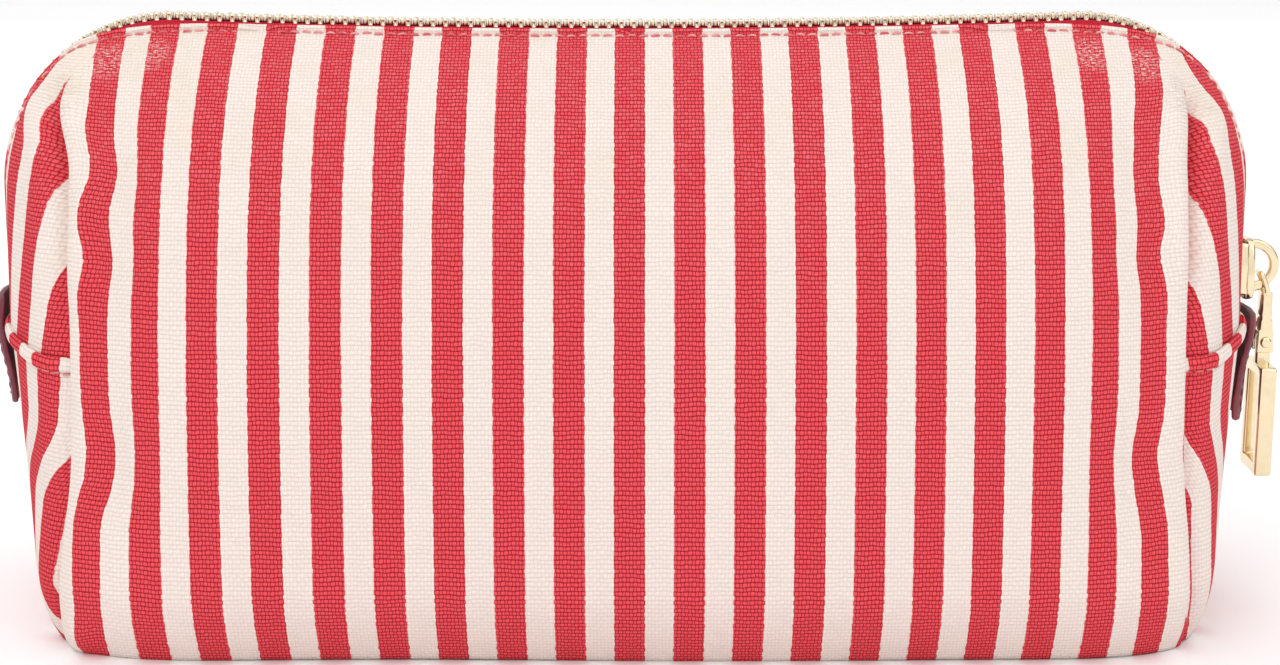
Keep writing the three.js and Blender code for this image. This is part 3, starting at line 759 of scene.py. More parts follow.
@dataclass
class BagForm:
    """The bag's outer surface as a stack of level outlines, with its creases and puckers.

    A level outline is flat across the front and then follows a superellipse to the flat strip that
    carries the zip. Girth is the distance along it from the middle of the front.
    """

    zip_height: float = 127.5
    crest_height: float = 129.0
    top_sag: float = 1.7
    end_half_width: float = 130.5
    base_half_depth: float = 49.1
    flat_front_half: float = 75.0
    corner_radius: float = 35.0
    seam_height: float = 61.0
    side_seams: tuple = (113.2, 114.3)
    fold_drift: tuple = (4.5, 1.5)
    fold_drift_rise: tuple = (98.0, 16.0)
    foot_drift: tuple = (4.4, 3.6)
    foot_drift_fall: tuple = (44.0, 34.0)
    zip_clearance: float = 0.93
    base_rounding: float = 16.0
    front_tuck: float = 7.7
    end_tuck: float = 3.0
    end_lean: float = 6.0
    base_power: float = 3.5
    seam_power: float = 2.1
    top_power: float = 1.8
    strip_half: float = 5.5
    corner_points: int = 420
    flat_points: int = 39

    @property
    def arc_x(self) -> float:
        """Middle of the zip line's corner arc, along X."""
        return self.end_half_width - self.corner_radius

    @property
    def arc_z(self) -> float:
        """Middle of the zip line's corner arc, above the floor."""
        return self.zip_height - self.corner_radius

    def half_depth(self, z: Array) -> Array:
        """Depth of the front: base depth x (1 - 0.4 t^1.6 - 0.6 t^6), less the tuck at the floor."""
        t = np.maximum(0.0, (z - self.base_rounding) / (self.crest_height - self.base_rounding))
        return self.base_half_depth * (1.0 - 0.4 * t**1.6 - 0.6 * t**6) - self.front_tuck * self.tuck(z)

    def half_width(self, z: Array) -> Array:
        """Half width at the zip line: a quarter circle over an upright wall over a leaning end."""
        lean = self.end_lean * np.maximum(0.0, 1.0 - z / self.seam_height) ** 1.1
        rise = np.clip(z - self.arc_z, 0.0, self.corner_radius)
        return self.arc_x + np.sqrt(self.corner_radius**2 - rise**2) - lean - self.end_tuck * self.tuck(z)

    def tuck(self, z: Array) -> Array:
        """Share of the tuck at the floor: (1 - z / rounding)^1.6."""
        return np.maximum(0.0, 1.0 - z / self.base_rounding) ** 1.6

    def power(self, z: Array) -> Array:
        """Exponent of the outline's corners, boxier at the floor and sharper at the top."""
        drop = np.maximum(0.0, 1.0 - z / self.seam_height) ** 2.4
        climb = np.maximum(0.0, (z - self.seam_height) / (self.zip_height - self.seam_height))
        below = (self.base_power - self.seam_power) * drop
        return self.seam_power + below - (self.seam_power - self.top_power) * climb

    def sag(self, x: Array, z: Array) -> Array:
        """Drop of the top towards its middle: sag (1 - (x / arc)^2) (z / height)^6."""
        return self.top_sag * np.maximum(0.0, 1.0 - (x / self.arc_x) ** 2) * (z / self.zip_height) ** 6

    def quarters(self, z: Array) -> tuple[Array, Array, Array]:
        """Quarter outlines from the middle of the front to the zip line.

        Args:
            z: Heights.

        Returns:
            X, depth and girth along each outline, one row for each height.
        """
        depth, power = self.half_depth(z)[:, None], self.power(z)[:, None]
        strip = np.minimum(self.strip_half, 0.4 * depth)
        angle = np.linspace(np.pi / 2.0, 0.0, self.corner_points)[None, :]
        reach = self.half_width(z)[:, None] - self.flat_front_half
        bent_x = self.flat_front_half + reach * np.clip(np.cos(angle), 0.0, 1.0) ** (2.0 / power)
        bent_y = strip + (depth - strip) * np.sin(angle) ** (2.0 / power)
        flat = (len(z), self.flat_points)
        flat_x = np.broadcast_to(np.linspace(0.0, self.flat_front_half, self.flat_points + 1)[:-1], flat)
        x = np.concatenate([flat_x, bent_x, bent_x[:, -1:]], 1)
        y = np.concatenate([np.broadcast_to(depth, flat), bent_y, np.zeros((len(z), 1))], 1)
        girth = np.concatenate(
            [np.zeros((len(z), 1)), np.cumsum(np.hypot(np.diff(x, axis=1), np.diff(y, axis=1)), 1)], 1)
        return x, y, girth

    def girth_at_depth(self, z: Array, depth: float) -> Array:
        """Girth where each outline comes within a depth of the zip's middle plane."""
        _, y, girth = self.quarters(z)
        return np.array([np.interp(-depth, -row, along) for row, along in zip(y, girth)])

    def girth_at_x(self, z: Array, place: float) -> Array:
        """Girth where each outline reaches an X."""
        x, _, girth = self.quarters(z)
        return np.array([np.interp(place, row, along) for row, along in zip(x, girth)])

    def lay(self, girth: Array, z: Array) -> Array:
        """Points of the plain surface.

        Args:
            girth: Signed girth, rows x columns, on past the zip line onto the back.
            z: Height of each row.

        Returns:
            Points as rows x columns x 3, on the front where the girth ends before the zip line.
        """
        x_rows, y_rows, along = self.quarters(z)
        whole = along[:, -1:]
        behind = np.abs(girth) > whole
        near = np.where(behind, 2.0 * whole - np.abs(girth), np.abs(girth))
        x = np.array([np.interp(g, a, row) for g, a, row in zip(near, along, x_rows)])
        y = np.array([np.interp(g, a, row) for g, a, row in zip(near, along, y_rows)])
        x, y = x * np.sign(girth), np.where(behind, y, -y)
        height = np.broadcast_to(z[:, None], x.shape)
        return np.stack([x, y, height - self.sag(x, height)], -1)

    def side_seam(self, end: End) -> float:
        """X of the seam beside a lower end."""
        return self.side_seams[end is End.RIGHT]

    def crease_girth(self, z: Array, end: End) -> Array:
        """Girth of the upright crease: the side seam, and the fold that carries on above it.

        The fold drifts towards the end as it climbs, and stays short of the zip.
        """
        seam, is_right = self.side_seam(end), end is End.RIGHT
        (low, rise), (high, fall) = self.fold_drift_rise, self.foot_drift_fall
        at_seam = float(self.girth_at_x(np.array([self.seam_height]), seam)[0])
        below = self.girth_at_x(z, seam) + self.foot_drift[is_right] * smoothstep((high - z) / fall)
        room = self.zip_clearance * self.girth_at_depth(z, self.strip_half)
        above = at_seam + self.fold_drift[is_right] * smoothstep((z - low) / rise)
        above = -np.logaddexp(-above / 2.0, -room / 2.0) * 2.0
        return np.where(z < self.seam_height, below, above)

    def nearer_end(self, girth: Array, side: Side) -> Array:
        """True where a signed girth on a side lies towards the left end."""
        return (girth < 0.0) == (side is Side.FRONT)


def grid_normals(grid: Array) -> Array:
    """Unit normals of a grid, outward where rows climb and columns run left to right on the front."""
    across = np.gradient(grid, axis=1)
    up = np.gradient(grid, axis=0)
    return unit(np.cross(across, up))


@dataclass
class ClothRelief:
    """Creases, puckers and slack that stand out of or into the plain surface, in millimetres."""

    form: BagForm
    lower_crease: float = 1.8
    upper_crease: float = 2.0
    valley_widths: tuple = (0.9, 2.2)
    inner_ridge: tuple = (0.60, -4.6, 3.4)
    outer_ridge: tuple = (0.35, 7.0, 4.0)

    def crease_depth(self, z: Array) -> Array:
        """Depth of the upright crease: even beside the gusset, deepest near the top, gone at the zip."""
        lower = self.lower_crease * smoothstep((z + 4.0) / 12.0)
        upper = self.upper_crease * smoothstep((z - 62.0) / 25.0)
        return (lower + upper) * smoothstep((118.0 - z) / 12.0)

    def height(self, girth: Array, z: Array, side: Side, gusset: bool = False) -> Array:
        """How far the cloth stands out at each point of a grid.

        Args:
            girth: Signed girth, rows x columns.
            z: Height of each row.
            side: Front or back, which are creased differently.
            gusset: Leaves out the puckers of the front.

        Returns:
            Heights, rows x columns.
        """
        level = np.broadcast_to(z[:, None], girth.shape)
        left, right = (self.form.crease_girth(z, end)[:, None] for end in End)
        away = np.abs(girth) - np.where(self.form.nearer_end(girth, side), left, right)
        deep = self.crease_depth(level)
        front_side, end_side = self.valley_widths
        rise = -deep * np.where(away < 0.0, bump(away, front_side), bump(away, end_side))
        for share, place, width in (self.inner_ridge, self.outer_ridge):
            rise += share * deep * bump(away - place, width)
        if not gusset:
            rise += self._puckers(girth, level, side)
        return rise

    def _puckers(self, girth: Array, z: Array, side: Side) -> Array:
        """Listed ridges near the ends and a slow slackness everywhere."""
        mirror = 1.0 if side is Side.FRONT else -1.0
        g = girth * mirror
        rise = np.zeros_like(g)
        for middle, height, half_width, half_length, lift, lean in PUCKERS:
            rise += lift * bump(g - middle - lean * (z - height), half_width) * bump(z - height, half_length)
        slack = 0.35 * np.sin(g / 21.0 + 0.6) * np.sin(z / 26.0 + 1.1)
        slack += 0.22 * np.sin(g / 9.5 + z / 31.0 + 2.0) * np.sin(z / 44.0)
        return rise + slack * smoothstep((124.0 - z) / 16.0)


# Middle girth, height, half width, half length, lift and lean of each pucker.
PUCKERS = (
    (-106.0, 97.0, 3.4, 8.0, 1.1, -0.10),
    (-100.5, 93.0, 3.0, 7.0, -0.8, -0.10),
    (-110.5, 80.0, 3.0, 7.0, 1.0, 0.05),
    (-108.0, 46.0, 3.6, 8.0, 1.0, 0.06),
    (-103.0, 41.0, 3.2, 9.0, -0.7, 0.04),
    (-111.0, 20.0, 3.2, 9.0, 0.6, 0.00),
    (-113.0, 5.0, 4.0, 4.5, 1.6, 0.10),
    (106.0, 98.0, 3.4, 8.5, 1.1, 0.08),
    (100.5, 92.0, 3.2, 8.0, -0.7, 0.08),
    (110.5, 83.0, 3.0, 6.0, 0.9, -0.05),
    (107.5, 45.0, 3.6, 9.0, 1.1, -0.06),
    (102.0, 40.0, 3.4, 10.0, -0.7, -0.04),
    (110.0, 14.0, 3.4, 8.0, 0.5, 0.00),
    (-84.0, 108.0, 5.0, 12.0, 0.5, 0.05),
    (84.0, 106.0, 5.0, 12.0, 0.5, -0.05),
    (0.0, 118.0, 40.0, 5.0, 0.4, 0.00),
)


@dataclass
class StripeLayout:
    """Where the printed stripes fall: cloth coordinate against girth and height."""

    form: BagForm
    middle: float = 0.9
    hidden_at_seam: float = 1.0
    hidden_rise: float = 12.5
    hidden_top: float = 10.5
    left_draw: float = 3.2
    gusset_draw: float = 8.2
    gusset_taper: float = 0.06

    def slack(self, z: Array, end: End) -> Array:
        """Cloth that the puckers near an end take up: a base with waves, drawn out near the floor."""
        if end is End.LEFT:
            taken, waves = 0.9 - 2.5 * smoothstep((40.0 - z) / 12.0), LEFT_WAVES
        else:
            taken = 1.9 - 1.6 * smoothstep((38.0 - z) / 12.0) - 1.5 * smoothstep((z - 106.0) / 10.0)
            waves = RIGHT_WAVES
        for height, half_length, amount in waves:
            taken = taken + amount * bump(z - height, half_length)
        return taken

    def hidden(self, z: Array) -> Array:
        """Cloth hidden in the upright fold above the end seam, two whole stripes at its top.

        It is 1 + 12.5 ((z - seam) / 43)^1.25 and then climbs to 24, where both sides match again.
        """
        climb = np.clip((z - self.form.seam_height) / 43.0, 0.0, 1.0) ** 1.25
        matched = self.hidden_top * smoothstep((z - 104.0) / 18.0)
        return self.hidden_at_seam + self.hidden_rise * climb + matched

    def panel(self, girth: Array, z: Array, side: Side) -> Array:
        """Cloth coordinate across a front or back panel, before what the fold hides."""
        reach, level = np.abs(girth), np.broadcast_to(z[:, None], girth.shape)
        near_left = self.form.nearer_end(girth, side)
        taken = np.where(near_left, self.slack(level, End.LEFT), self.slack(level, End.RIGHT))
        cloth = reach + taken * bump(reach - 108.0, 9.0)
        corner = smoothstep((level - 103.0) / 9.0) * smoothstep((reach - 110.0) / 8.0)
        cloth -= self.left_draw * corner * near_left
        return cloth * np.sign(girth) - self.middle * smoothstep((100.0 - reach) / 60.0)

    def gusset(self, girth: Array, z: Array) -> Array:
        """Cloth coordinate across a lower end, whose cut narrows below the middle."""
        level = np.broadcast_to(z[:, None], girth.shape)
        drawn = self.gusset_draw * smoothstep((49.0 - level) / 18.0)
        narrowed = self.gusset_taper * np.maximum(0.0, 36.0 - level)
        return (np.abs(girth) - drawn - narrowed) * np.sign(girth)


# Height, half length and amount of each wave of slack near an end.
LEFT_WAVES = ((82.0, 5.5, 1.7), (99.0, 5.5, 2.6), (45.0, 7.0, 1.6))
RIGHT_WAVES = ((83.0, 5.0, 1.6), (98.0, 7.5, 1.9), (44.0, 6.0, 2.0))


@dataclass
class EdgeLine:
    """A line on the cloth with its own directions, for folds and stitches."""

    points: Array
    outward: Array
    cloth: Array

    def turned(self, factors: Array) -> "EdgeLine":
        """The same line with its points and directions multiplied by factors."""
        return EdgeLine(self.points * factors, self.outward * factors, self.cloth)

    @property
    def along(self) -> Array:
        """Unit direction along the line."""
        return unit(np.gradient(self.points, axis=0))

    @property
    def across(self) -> Array:
        """Unit direction across the line, in the cloth."""
        return unit(np.cross(self.outward, self.along))

    def moved(self, across: float, outward: float) -> "EdgeLine":
        """The same line moved in the cloth and out of it."""
        points = self.points + self.across * across + self.outward * outward
        return EdgeLine(points, self.outward, self.cloth)

    def tucked(self, reach: float, sink: float) -> "EdgeLine":
        """The same line run on at both ends, and sunk there, so that it ends under its neighbour."""
        along = self.along
        first = self.points[0] - along[0] * reach - self.outward[0] * sink
        last = self.points[-1] + along[-1] * reach - self.outward[-1] * sink
        points = np.concatenate([first[None], self.points, last[None]])
        outward = np.concatenate([self.outward[:1], self.outward, self.outward[-1:]])
        return EdgeLine(points, outward, np.pad(self.cloth, 1, mode="edge")).evened(1.4)

    def evened(self, spacing: float) -> "EdgeLine":
        """The same line with its points evenly spaced."""
        length = running_length(self.points)
        at = np.linspace(0.0, length[-1], max(2, int(round(length[-1] / spacing)) + 1))

        def pick(values: Array) -> Array:
            """Values at the even places."""
            return np.stack([np.interp(at, length, column) for column in values.T], 1)

        return EdgeLine(pick(self.points), unit(pick(self.outward)), pick(self.cloth[:, None])[:, 0])


def fold_piece(name: str, line: EdgeLine, half_across: float, half_out: float) -> bpy.types.Object:
    """A rounded fold of cloth along a line, drawn thinner at both ends, with the stripes carried on."""
    count = 12
    ends = np.minimum(np.arange(len(line.points)), np.arange(len(line.points))[::-1]) / 1.5
    swell = np.sqrt(np.clip(ends + 0.12, 0.0, 1.0))
    grid = sweep(line.points, line.across, line.outward, half_across * swell, half_out * swell, count, 2.3)
    around = np.linspace(0.0, 2.0 * np.pi, count + 1) * (half_across + half_out) / 2.0
    return grid_piece(name, grid, close_columns=True, uv=cloth_uv(line.cloth[:, None], around[None, :]))


def stitch_template(length: float, radius: float, dip: float) -> Array:
    """One stitch: a round thread whose ends dip into the cloth as dip x t^2."""
    t = np.linspace(-1.0, 1.0, 8)
    x, y = superellipse(6, 2.0)
    thick = radius * np.sqrt(np.clip(1.0 - t**8, 0.02, 1.0))
    along = np.broadcast_to(t[:, None] * length / 2.0, (len(t), 6))
    return np.stack([along, thick[:, None] * x, thick[:, None] * y - dip * (t**2)[:, None]], -1)


def stitch_piece(name: str, line: EdgeLine, pitch: float, seed: int,
                 radius: float = 0.24) -> bpy.types.Object:
    """A row of separate stitches along a line, each turned and moved a little."""
    even = line.evened(pitch)
    rng = np.random.default_rng(seed)
    count = len(even.points)
    turn = rng.normal(0.0, 0.07, count)[:, None]
    along = even.along * np.cos(turn) + even.across * np.sin(turn)
    across = np.cross(even.outward, along)
    frames = np.stack([along, across, even.outward], 1)
    places = even.points + even.across * rng.normal(0.0, 0.10, count)[:, None]
    copies = scatter(stitch_template(pitch * 0.86, radius, 1.4 * radius), places, frames)
    return grid_piece(name, *copies, close_columns=True, caps=True, flip=True)


@dataclass
class CanvasPanel:
    """The front or back: one striped cloth from the floor to the zip, and round both upper ends."""

    form: BagForm
    finishes: Finishes
    side: Side
    edge_depth: float = 4.8
    thickness: float = 0.9
    fold_half: tuple = (0.85, 0.80)
    fold_stand: float = 0.1
    stitch_place: tuple = (-1.15, 0.22)
    stitch_pitch: float = 2.5
    cut_share: float = 0.875

    def __post_init__(self) -> None:
        """Works out the grid's levels and stations."""
        lower = self._levels(0.0, self.form.seam_height, 52, 1.0)
        upper = self._levels(self.form.seam_height, self._top_height(), 78, 1.35)
        self.levels = np.concatenate([lower, upper[1:]])
        self.seam_row = len(lower) - 1
        inner = np.concatenate([np.linspace(0.0, 0.80, 66), np.linspace(0.80, 1.0, 44)[1:]])
        outer = np.linspace(0.0, 1.0, 40) ** 1.15
        self.stations = np.concatenate([inner, 1.0 + outer[1:]])

    def _top_height(self) -> float:
        """Height at which the front comes within the zip edge's depth."""
        z = np.linspace(100.0, self.form.zip_height, 2000)
        return float(np.interp(-self.edge_depth, -self.form.half_depth(z), z))

    def _levels(self, low: float, high: float, count: int, lean: float) -> Array:
        """Heights evenly spaced along the front's profile, closer together towards the top."""
        z = np.linspace(low, high, 1500)
        length = self._rise(z)
        share = 1.0 - (1.0 - np.linspace(0.0, 1.0, count)) ** lean
        return np.interp(share * length[-1], length, z)

    def _rise(self, z: Array) -> Array:
        """Length up the front's profile to each height."""
        return running_length(np.stack([z, self.form.half_depth(z)], 1))

    def girths(self) -> Array:
        """Signed girth of every grid point."""
        whole = self.form.girth_at_depth(self.levels, self.edge_depth)
        s = self.stations[None, :]
        halves = []
        for end in (End.LEFT, End.RIGHT) if self.side is Side.FRONT else (End.RIGHT, End.LEFT):
            crease = np.minimum(self.form.crease_girth(self.levels, end), 0.98 * whole)[:, None]
            halves.append(np.where(s <= 1.0, s * crease, crease + (s - 1.0) * (whole[:, None] - crease)))
        return np.concatenate([-halves[0][:, :0:-1], halves[1]], 1)

    def build(self) -> bpy.types.Object:
        """Makes the panel, its folded zip edge and the row of stitches along it."""
        girth = self.girths()
        plain = self.form.lay(girth, self.levels)
        normals = grid_normals(plain)
        relief = ClothRelief(self.form).height(girth, self.levels, self.side)
        grid = plain + normals * relief[..., None]
        layout = StripeLayout(self.form)
        cloth = layout.panel(girth, self.levels, self.side)
        ends = cloth + layout.hidden(self.levels)[:, None] * np.sign(girth)
        rise = self._rise(self.levels)[:, None]
        keep = np.ones((grid.shape[0] - 1, grid.shape[1] - 1), bool)
        spare = len(self.stations) - 1 - int(np.searchsorted(self.stations, 1.0))
        past_fold = np.zeros_like(keep)
        past_fold[:, :spare] = past_fold[:, -spare:] = True
        keep[: self.seam_row, :spare] = False
        keep[: self.seam_row, -spare:] = False
        whole_stripes = layout.hidden(self.levels[-1:]) * np.sign(girth)
        edge = self._zip_edge(grid, grid_normals(grid), ends - whole_stripes).turned(self.side.turn)
        name = self.side.name.lower()
        piece = grid_piece(f"{name}_canvas", grid * self.side.turn, uv=cloth_uv(cloth, rise), keep=keep,
                           flip=True, beyond=(cloth_uv(ends, rise), past_fold))
        thicken(piece, self.thickness)
        dress(piece, self.finishes.canvas, "bag", (f"{name}_panel",))
        fold = fold_piece(f"{name}_zip_fold", edge.evened(1.5).moved(0.0, self.fold_stand), *self.fold_half)
        dress(fold, self.finishes.canvas, "bag")
        rows = stitch_piece(f"{name}_topstitch", edge.evened(1.0).moved(*self.stitch_place),
                            self.stitch_pitch, 11)
        dress(rows, self.finishes.thread, "bag")
        self._declare()
        return piece

    def _zip_edge(self, grid: Array, normals: Array, cloth: Array) -> EdgeLine:
        """The cloth's edge up one end, over the top and down the other."""

        def walk(values: Array) -> Array:
            """Values along the edge, from the -X end seam to the +X one."""
            left, right = values[self.seam_row:, 0], values[self.seam_row:, -1]
            return np.concatenate([left, values[-1, 1:-1], right[::-1]])

        return EdgeLine(walk(grid), walk(normals), walk(cloth[..., None])[:, 0])

    def _declare(self) -> None:
        """Works out the flat size of the cut cloth, which is not used further."""
        width = 2.0 * float(self.form.girth_at_depth(np.array([self.form.seam_height]), self.edge_depth)[0])
        length = float(self._rise(np.linspace(0.0, self.levels[-1], 400))[-1])


@dataclass
class EndGusset:
    """A lower end: striped cloth from seam to seam with a folded, stitched top edge."""

    form: BagForm
    finishes: Finishes
    end: End
    fold_height: float = 59.6
    thickness: float = 0.9
    end_lift: float = 3.6
    roll_tuck: tuple = (1.6, 0.9)
    roll_half: tuple = (1.55, 0.85)
    roll_stand: float = 0.50
    stitch_place: tuple = (-1.6, 0.36)
    stitch_pitch: float = 2.5

    def build(self) -> bpy.types.Object:
        """Makes the gusset, its folded edge and the stitches under the fold."""
        levels = np.linspace(0.0, self.form.seam_height - 0.5, 52)
        near = self.form.girth_at_x(levels, self.form.side_seam(self.end))
        whole = self.form.quarters(levels)[2][:, -1]
        s = np.linspace(-1.0, 1.0, 97)
        s = np.sign(s) * (1.0 - (1.0 - np.abs(s)) ** 1.25)
        girth = whole[:, None] + s[None, :] * (whole - near)[:, None]
        grid, normals, cloth = self._lay(girth, levels)
        name = self.end.name.lower()
        piece = grid_piece(f"{name}_gusset", grid * self.end.turn, uv=cloth_uv(cloth, levels[:, None]),
                           flip=True)
        thicken(piece, self.thickness)
        dress(piece, self.finishes.canvas, "bag", (f"{name}_end_gusset",))
        row = int(np.searchsorted(levels, self.fold_height))
        line = EdgeLine(grid[row], normals[row], cloth[row]).turned(self.end.turn)
        line = line.tucked(*self.roll_tuck)
        fold = fold_piece(f"{name}_seam_fold", line.moved(0.0, self.roll_stand), *self.roll_half)
        dress(fold, self.finishes.canvas, "bag")
        rows = stitch_piece(f"{name}_seam_stitch", line.moved(*self.stitch_place), self.stitch_pitch, 23)
        dress(rows, self.finishes.thread, "bag")
        return piece

    def _lay(self, girth: Array, levels: Array) -> tuple[Array, Array, Array]:
        """Points, normals and cloth coordinate of the gusset on the +X end."""
        plain = self.form.lay(girth, levels)
        normals = grid_normals(plain)
        whole = self.form.quarters(levels)[2][:, -1:]
        folded = np.where(girth > whole, 2.0 * whole - girth, girth)
        relief = ClothRelief(self.form).height(self.end.value * folded, levels, Side.FRONT, gusset=True)
        grid = plain + normals * relief[..., None]
        near = self.form.girth_at_x(levels, self.form.side_seam(self.end))[:, None]
        grid[..., 2] += self.end_lift * smoothstep(1.25 * (folded - near) / (whole - near)) * (
            levels[:, None] / self.form.seam_height) ** 2
        cloth = StripeLayout(self.form).gusset(folded, levels)
        cloth = np.where(girth > whole, 2.0 * whole - cloth, cloth)
        return grid, grid_normals(grid), cloth


@dataclass
class Base:
    """The flat bottom, a sheet inside the walls, with the stripes running across it."""

    form: BagForm
    finishes: Finishes
    inset: float = 1.2
    height: float = 0.9
    flat_size: tuple = (0.235, 0.083)
    flat_area: float = 0.0187

    def build(self) -> bpy.types.Object:
        """Makes the bottom as rings that shrink from the outline to the middle."""
        x, y, _ = self.form.quarters(np.array([0.0]))
        quarter = np.stack([x[0, :-1:6], y[0, :-1:6]], 1)
        half = np.concatenate([quarter, (quarter * [1.0, -1.0])[::-1]])
        rim = np.concatenate([half, half[::-1] * [-1.0, 1.0]])
        rim = rim - unit(rim) * self.inset
        shares = np.linspace(0.02, 1.0, 14)[:, None, None]
        flat = rim[None] * shares
        ring = np.concatenate([flat, np.zeros(flat.shape[:2] + (1,))], -1)
        top = ring + Z_AXIS * self.height
        grid = np.concatenate([ring, top[::-1]])
        wrapped = np.concatenate([grid, grid[:, :1]], 1)[..., :2] / MM_PER_CM
        piece = grid_piece("base_canvas", grid, close_columns=True, uv=wrapped)
        dress(piece, self.finishes.canvas, "bag", ("base_panel",))
        return piece


@dataclass
class Lining:
    """Thin cloth inside the canvas, one half on each side."""

    form: BagForm
    finishes: Finishes
    side: Side
    depth: float = 5.5
    opening: float = 11.0
    thickness: float = 0.4
    flat_size: tuple = (0.315, 0.135)
    flat_area: float = 0.0375

    def build(self) -> bpy.types.Object:
        """Makes one half of the lining, open along the zip."""
        levels = np.concatenate([np.linspace(3.0, 112.0, 40), np.linspace(113.0, 119.5, 6)])
        whole = self.form.girth_at_depth(levels, self.opening)
        girth = np.linspace(-1.0, 1.0, 90)[None, :] * whole[:, None]
        plain = self.form.lay(girth, levels)
        grid = plain - grid_normals(plain) * self.depth
        name = self.side.name.lower()
        piece = grid_piece(f"{name}_lining_cloth", grid * self.side.turn,
                           uv=cloth_uv(girth, levels[:, None]), flip=True)
        thicken(piece, self.thickness)
        dress(piece, self.finishes.lining, "bag", (f"{name}_lining",))
        return piece


# ---------------------------------------------------------------- zip


@dataclass
class ZipLine:
    """The bent line of the zip in the middle plane: upright, quarter circle, sagging top and back."""

    form: BagForm

    def at(self, low: float, high: float, spacing: float) -> tuple[Array, Array]:
        """Evenly spaced places along the line.

        Args:
            low: Height at which it starts on the -X end.
            high: Height at which it ends on the +X end.
            spacing: Distance between places.

        Returns:
            Points and outward unit vectors.
        """
        f = self.form
        turn = np.linspace(0.0, np.pi / 2.0, 80)
        left = np.stack([-f.arc_x - f.corner_radius * np.cos(turn),
                         f.arc_z + f.corner_radius * np.sin(turn)], 1)
        across = np.stack([np.linspace(-f.arc_x, f.arc_x, 200), np.full(200, f.zip_height)], 1)[1:-1]
        right = (left * [-1.0, 1.0])[::-1]
        line = np.concatenate([[[-f.end_half_width, low]], left, across, right, [[f.end_half_width, high]]])
        drop = f.top_sag * np.maximum(0.0, 1.0 - (line[:, 0] / f.arc_x) ** 2)
        line[:, 1] -= np.where(line[:, 1] > f.arc_z, drop, 0.0)
        length = running_length(line)
        at = np.arange(0.0, length[-1], spacing)
        x, z = np.interp(at, length, line[:, 0]), np.interp(at, length, line[:, 1])
        points = np.stack([x, np.zeros_like(x), z], 1)
        along = unit(np.gradient(points, axis=0))
        return points, np.stack([-along[:, 2], np.zeros_like(x), along[:, 0]], 1)


@dataclass
class Zip:
    """Two woven tapes and two rows of metal teeth that mesh."""

    form: BagForm
    finishes: Finishes
    pitch: float = 2.63
    tooth_length: float = 1.12
    tooth_root: float = 2.35
    tooth_tip: float = -0.75
    stand: float = 0.95
    lift: float = 0.38
    tape_slope: float = 0.59
    tape_low: float = 62.0
    tape_step: float = 1.6
    tape_thickness: float = 0.5
    tape_flat_width: float = 10.5
    tape_columns: tuple = (0.9, 1.5, 2.4, 3.3, 4.3, 5.3, 6.6, 7.9, 9.2)
    tooth_shares: tuple = (0.09, 0.07, 0.0, 0.0, 0.05, 0.30, 0.55, 0.72, 0.88, 0.97, 1.0)
    tooth_lengths: tuple = (0.35, 0.44, 0.55, 0.86, 1.0, 1.0, 0.92, 0.86, 1.0, 0.86, 0.45)
    tooth_heights: tuple = (0.35, 0.44, 0.55, 0.86, 1.0, 1.0, 1.0, 0.80, 0.94, 0.86, 0.5)

    def build(self) -> None:
        """Makes the tapes and the teeth."""
        for side in Side:
            self._tape(side)
            self._teeth(side)

    def _tape(self, side: Side) -> None:
        """A strip that follows the line, sinking under the cloth away from the teeth."""
        name = side.name.lower()
        points, outward = ZipLine(self.form).at(self.tape_low, self.tape_low, self.tape_step)
        across = np.array(self.tape_columns)[None, :]
        upright = np.abs(outward[:, 2:3]) ** 1.5
        slanted = 2.0 * np.abs(outward[:, 2:3] * outward[:, 0:1])
        sink = 0.30 + 0.25 * np.clip(across - 3.0, 0.0, 3.0)
        for slope, start, share in ((self.tape_slope, 2.5, upright), (0.42, 4.0, slanted),
                                    (0.12, 5.5, 1.0 - upright)):
            sink = sink + slope * np.maximum(0.0, across - start) * share
        grid = points[:, None, :] - outward[:, None, :] * sink[..., None]
        grid = grid + side.value * Y_AXIS * across[..., None]
        length = np.arange(len(points))[:, None] * self.tape_step
        piece = grid_piece(f"{name}_zip_tape", grid, uv=cloth_uv(length, across), flip=side is Side.FRONT)
        thicken(piece, self.tape_thickness)
        dress(piece, self.finishes.tape, "bag", (f"zip_tape_{name}",))

    def _tooth(self) -> Array:
        """One tooth: a block with rounded edges, narrower in its neck, with a bulb at its tip.

        Rows run from root to tip; each is a superellipse whose length along the zip swells at the
        tip, and whose top dips in the middle of the bulb.
        """
        reach = self.tooth_root + (self.tooth_tip - self.tooth_root) * np.array(self.tooth_shares)
        half = self.tooth_length / 2.0 * np.array(self.tooth_lengths)
        tall = self.stand * np.array(self.tooth_heights)
        x, y = superellipse(10, 5.0)
        along = half[:, None] * x
        return np.stack([along, np.broadcast_to(reach[:, None], along.shape), tall[:, None] * y], -1)

    def _teeth(self, side: Side) -> None:
        """A row of teeth, half a pitch along from the other row."""
        name = side.name.lower()
        low, high = node_box("zip_teeth_front")[0][2], node_box("zip_top_stop_front")[1][2] + 1.0
        points, outward = ZipLine(self.form).at(float(low), float(high), self.pitch / 2.0)
        pick = slice(1 if side is Side.FRONT else 2, None, 2)
        points, outward = points[pick], outward[pick]
        along = np.stack([outward[:, 2], np.zeros(len(points)), -outward[:, 0]], 1)
        across = np.broadcast_to(side.value * Y_AXIS, along.shape)
        places = points + self.lift * outward
        copies = scatter(self._tooth(), places, np.stack([along, across, outward], 1))
        piece = grid_piece(f"{name}_zip_teeth", *copies, close_columns=True, caps=True,
                           flip=side is Side.BACK)
        dress(piece, self.finishes.teeth, "bag", (f"zip_teeth_{name}",))


# ---------------------------------------------------------------- leather patches


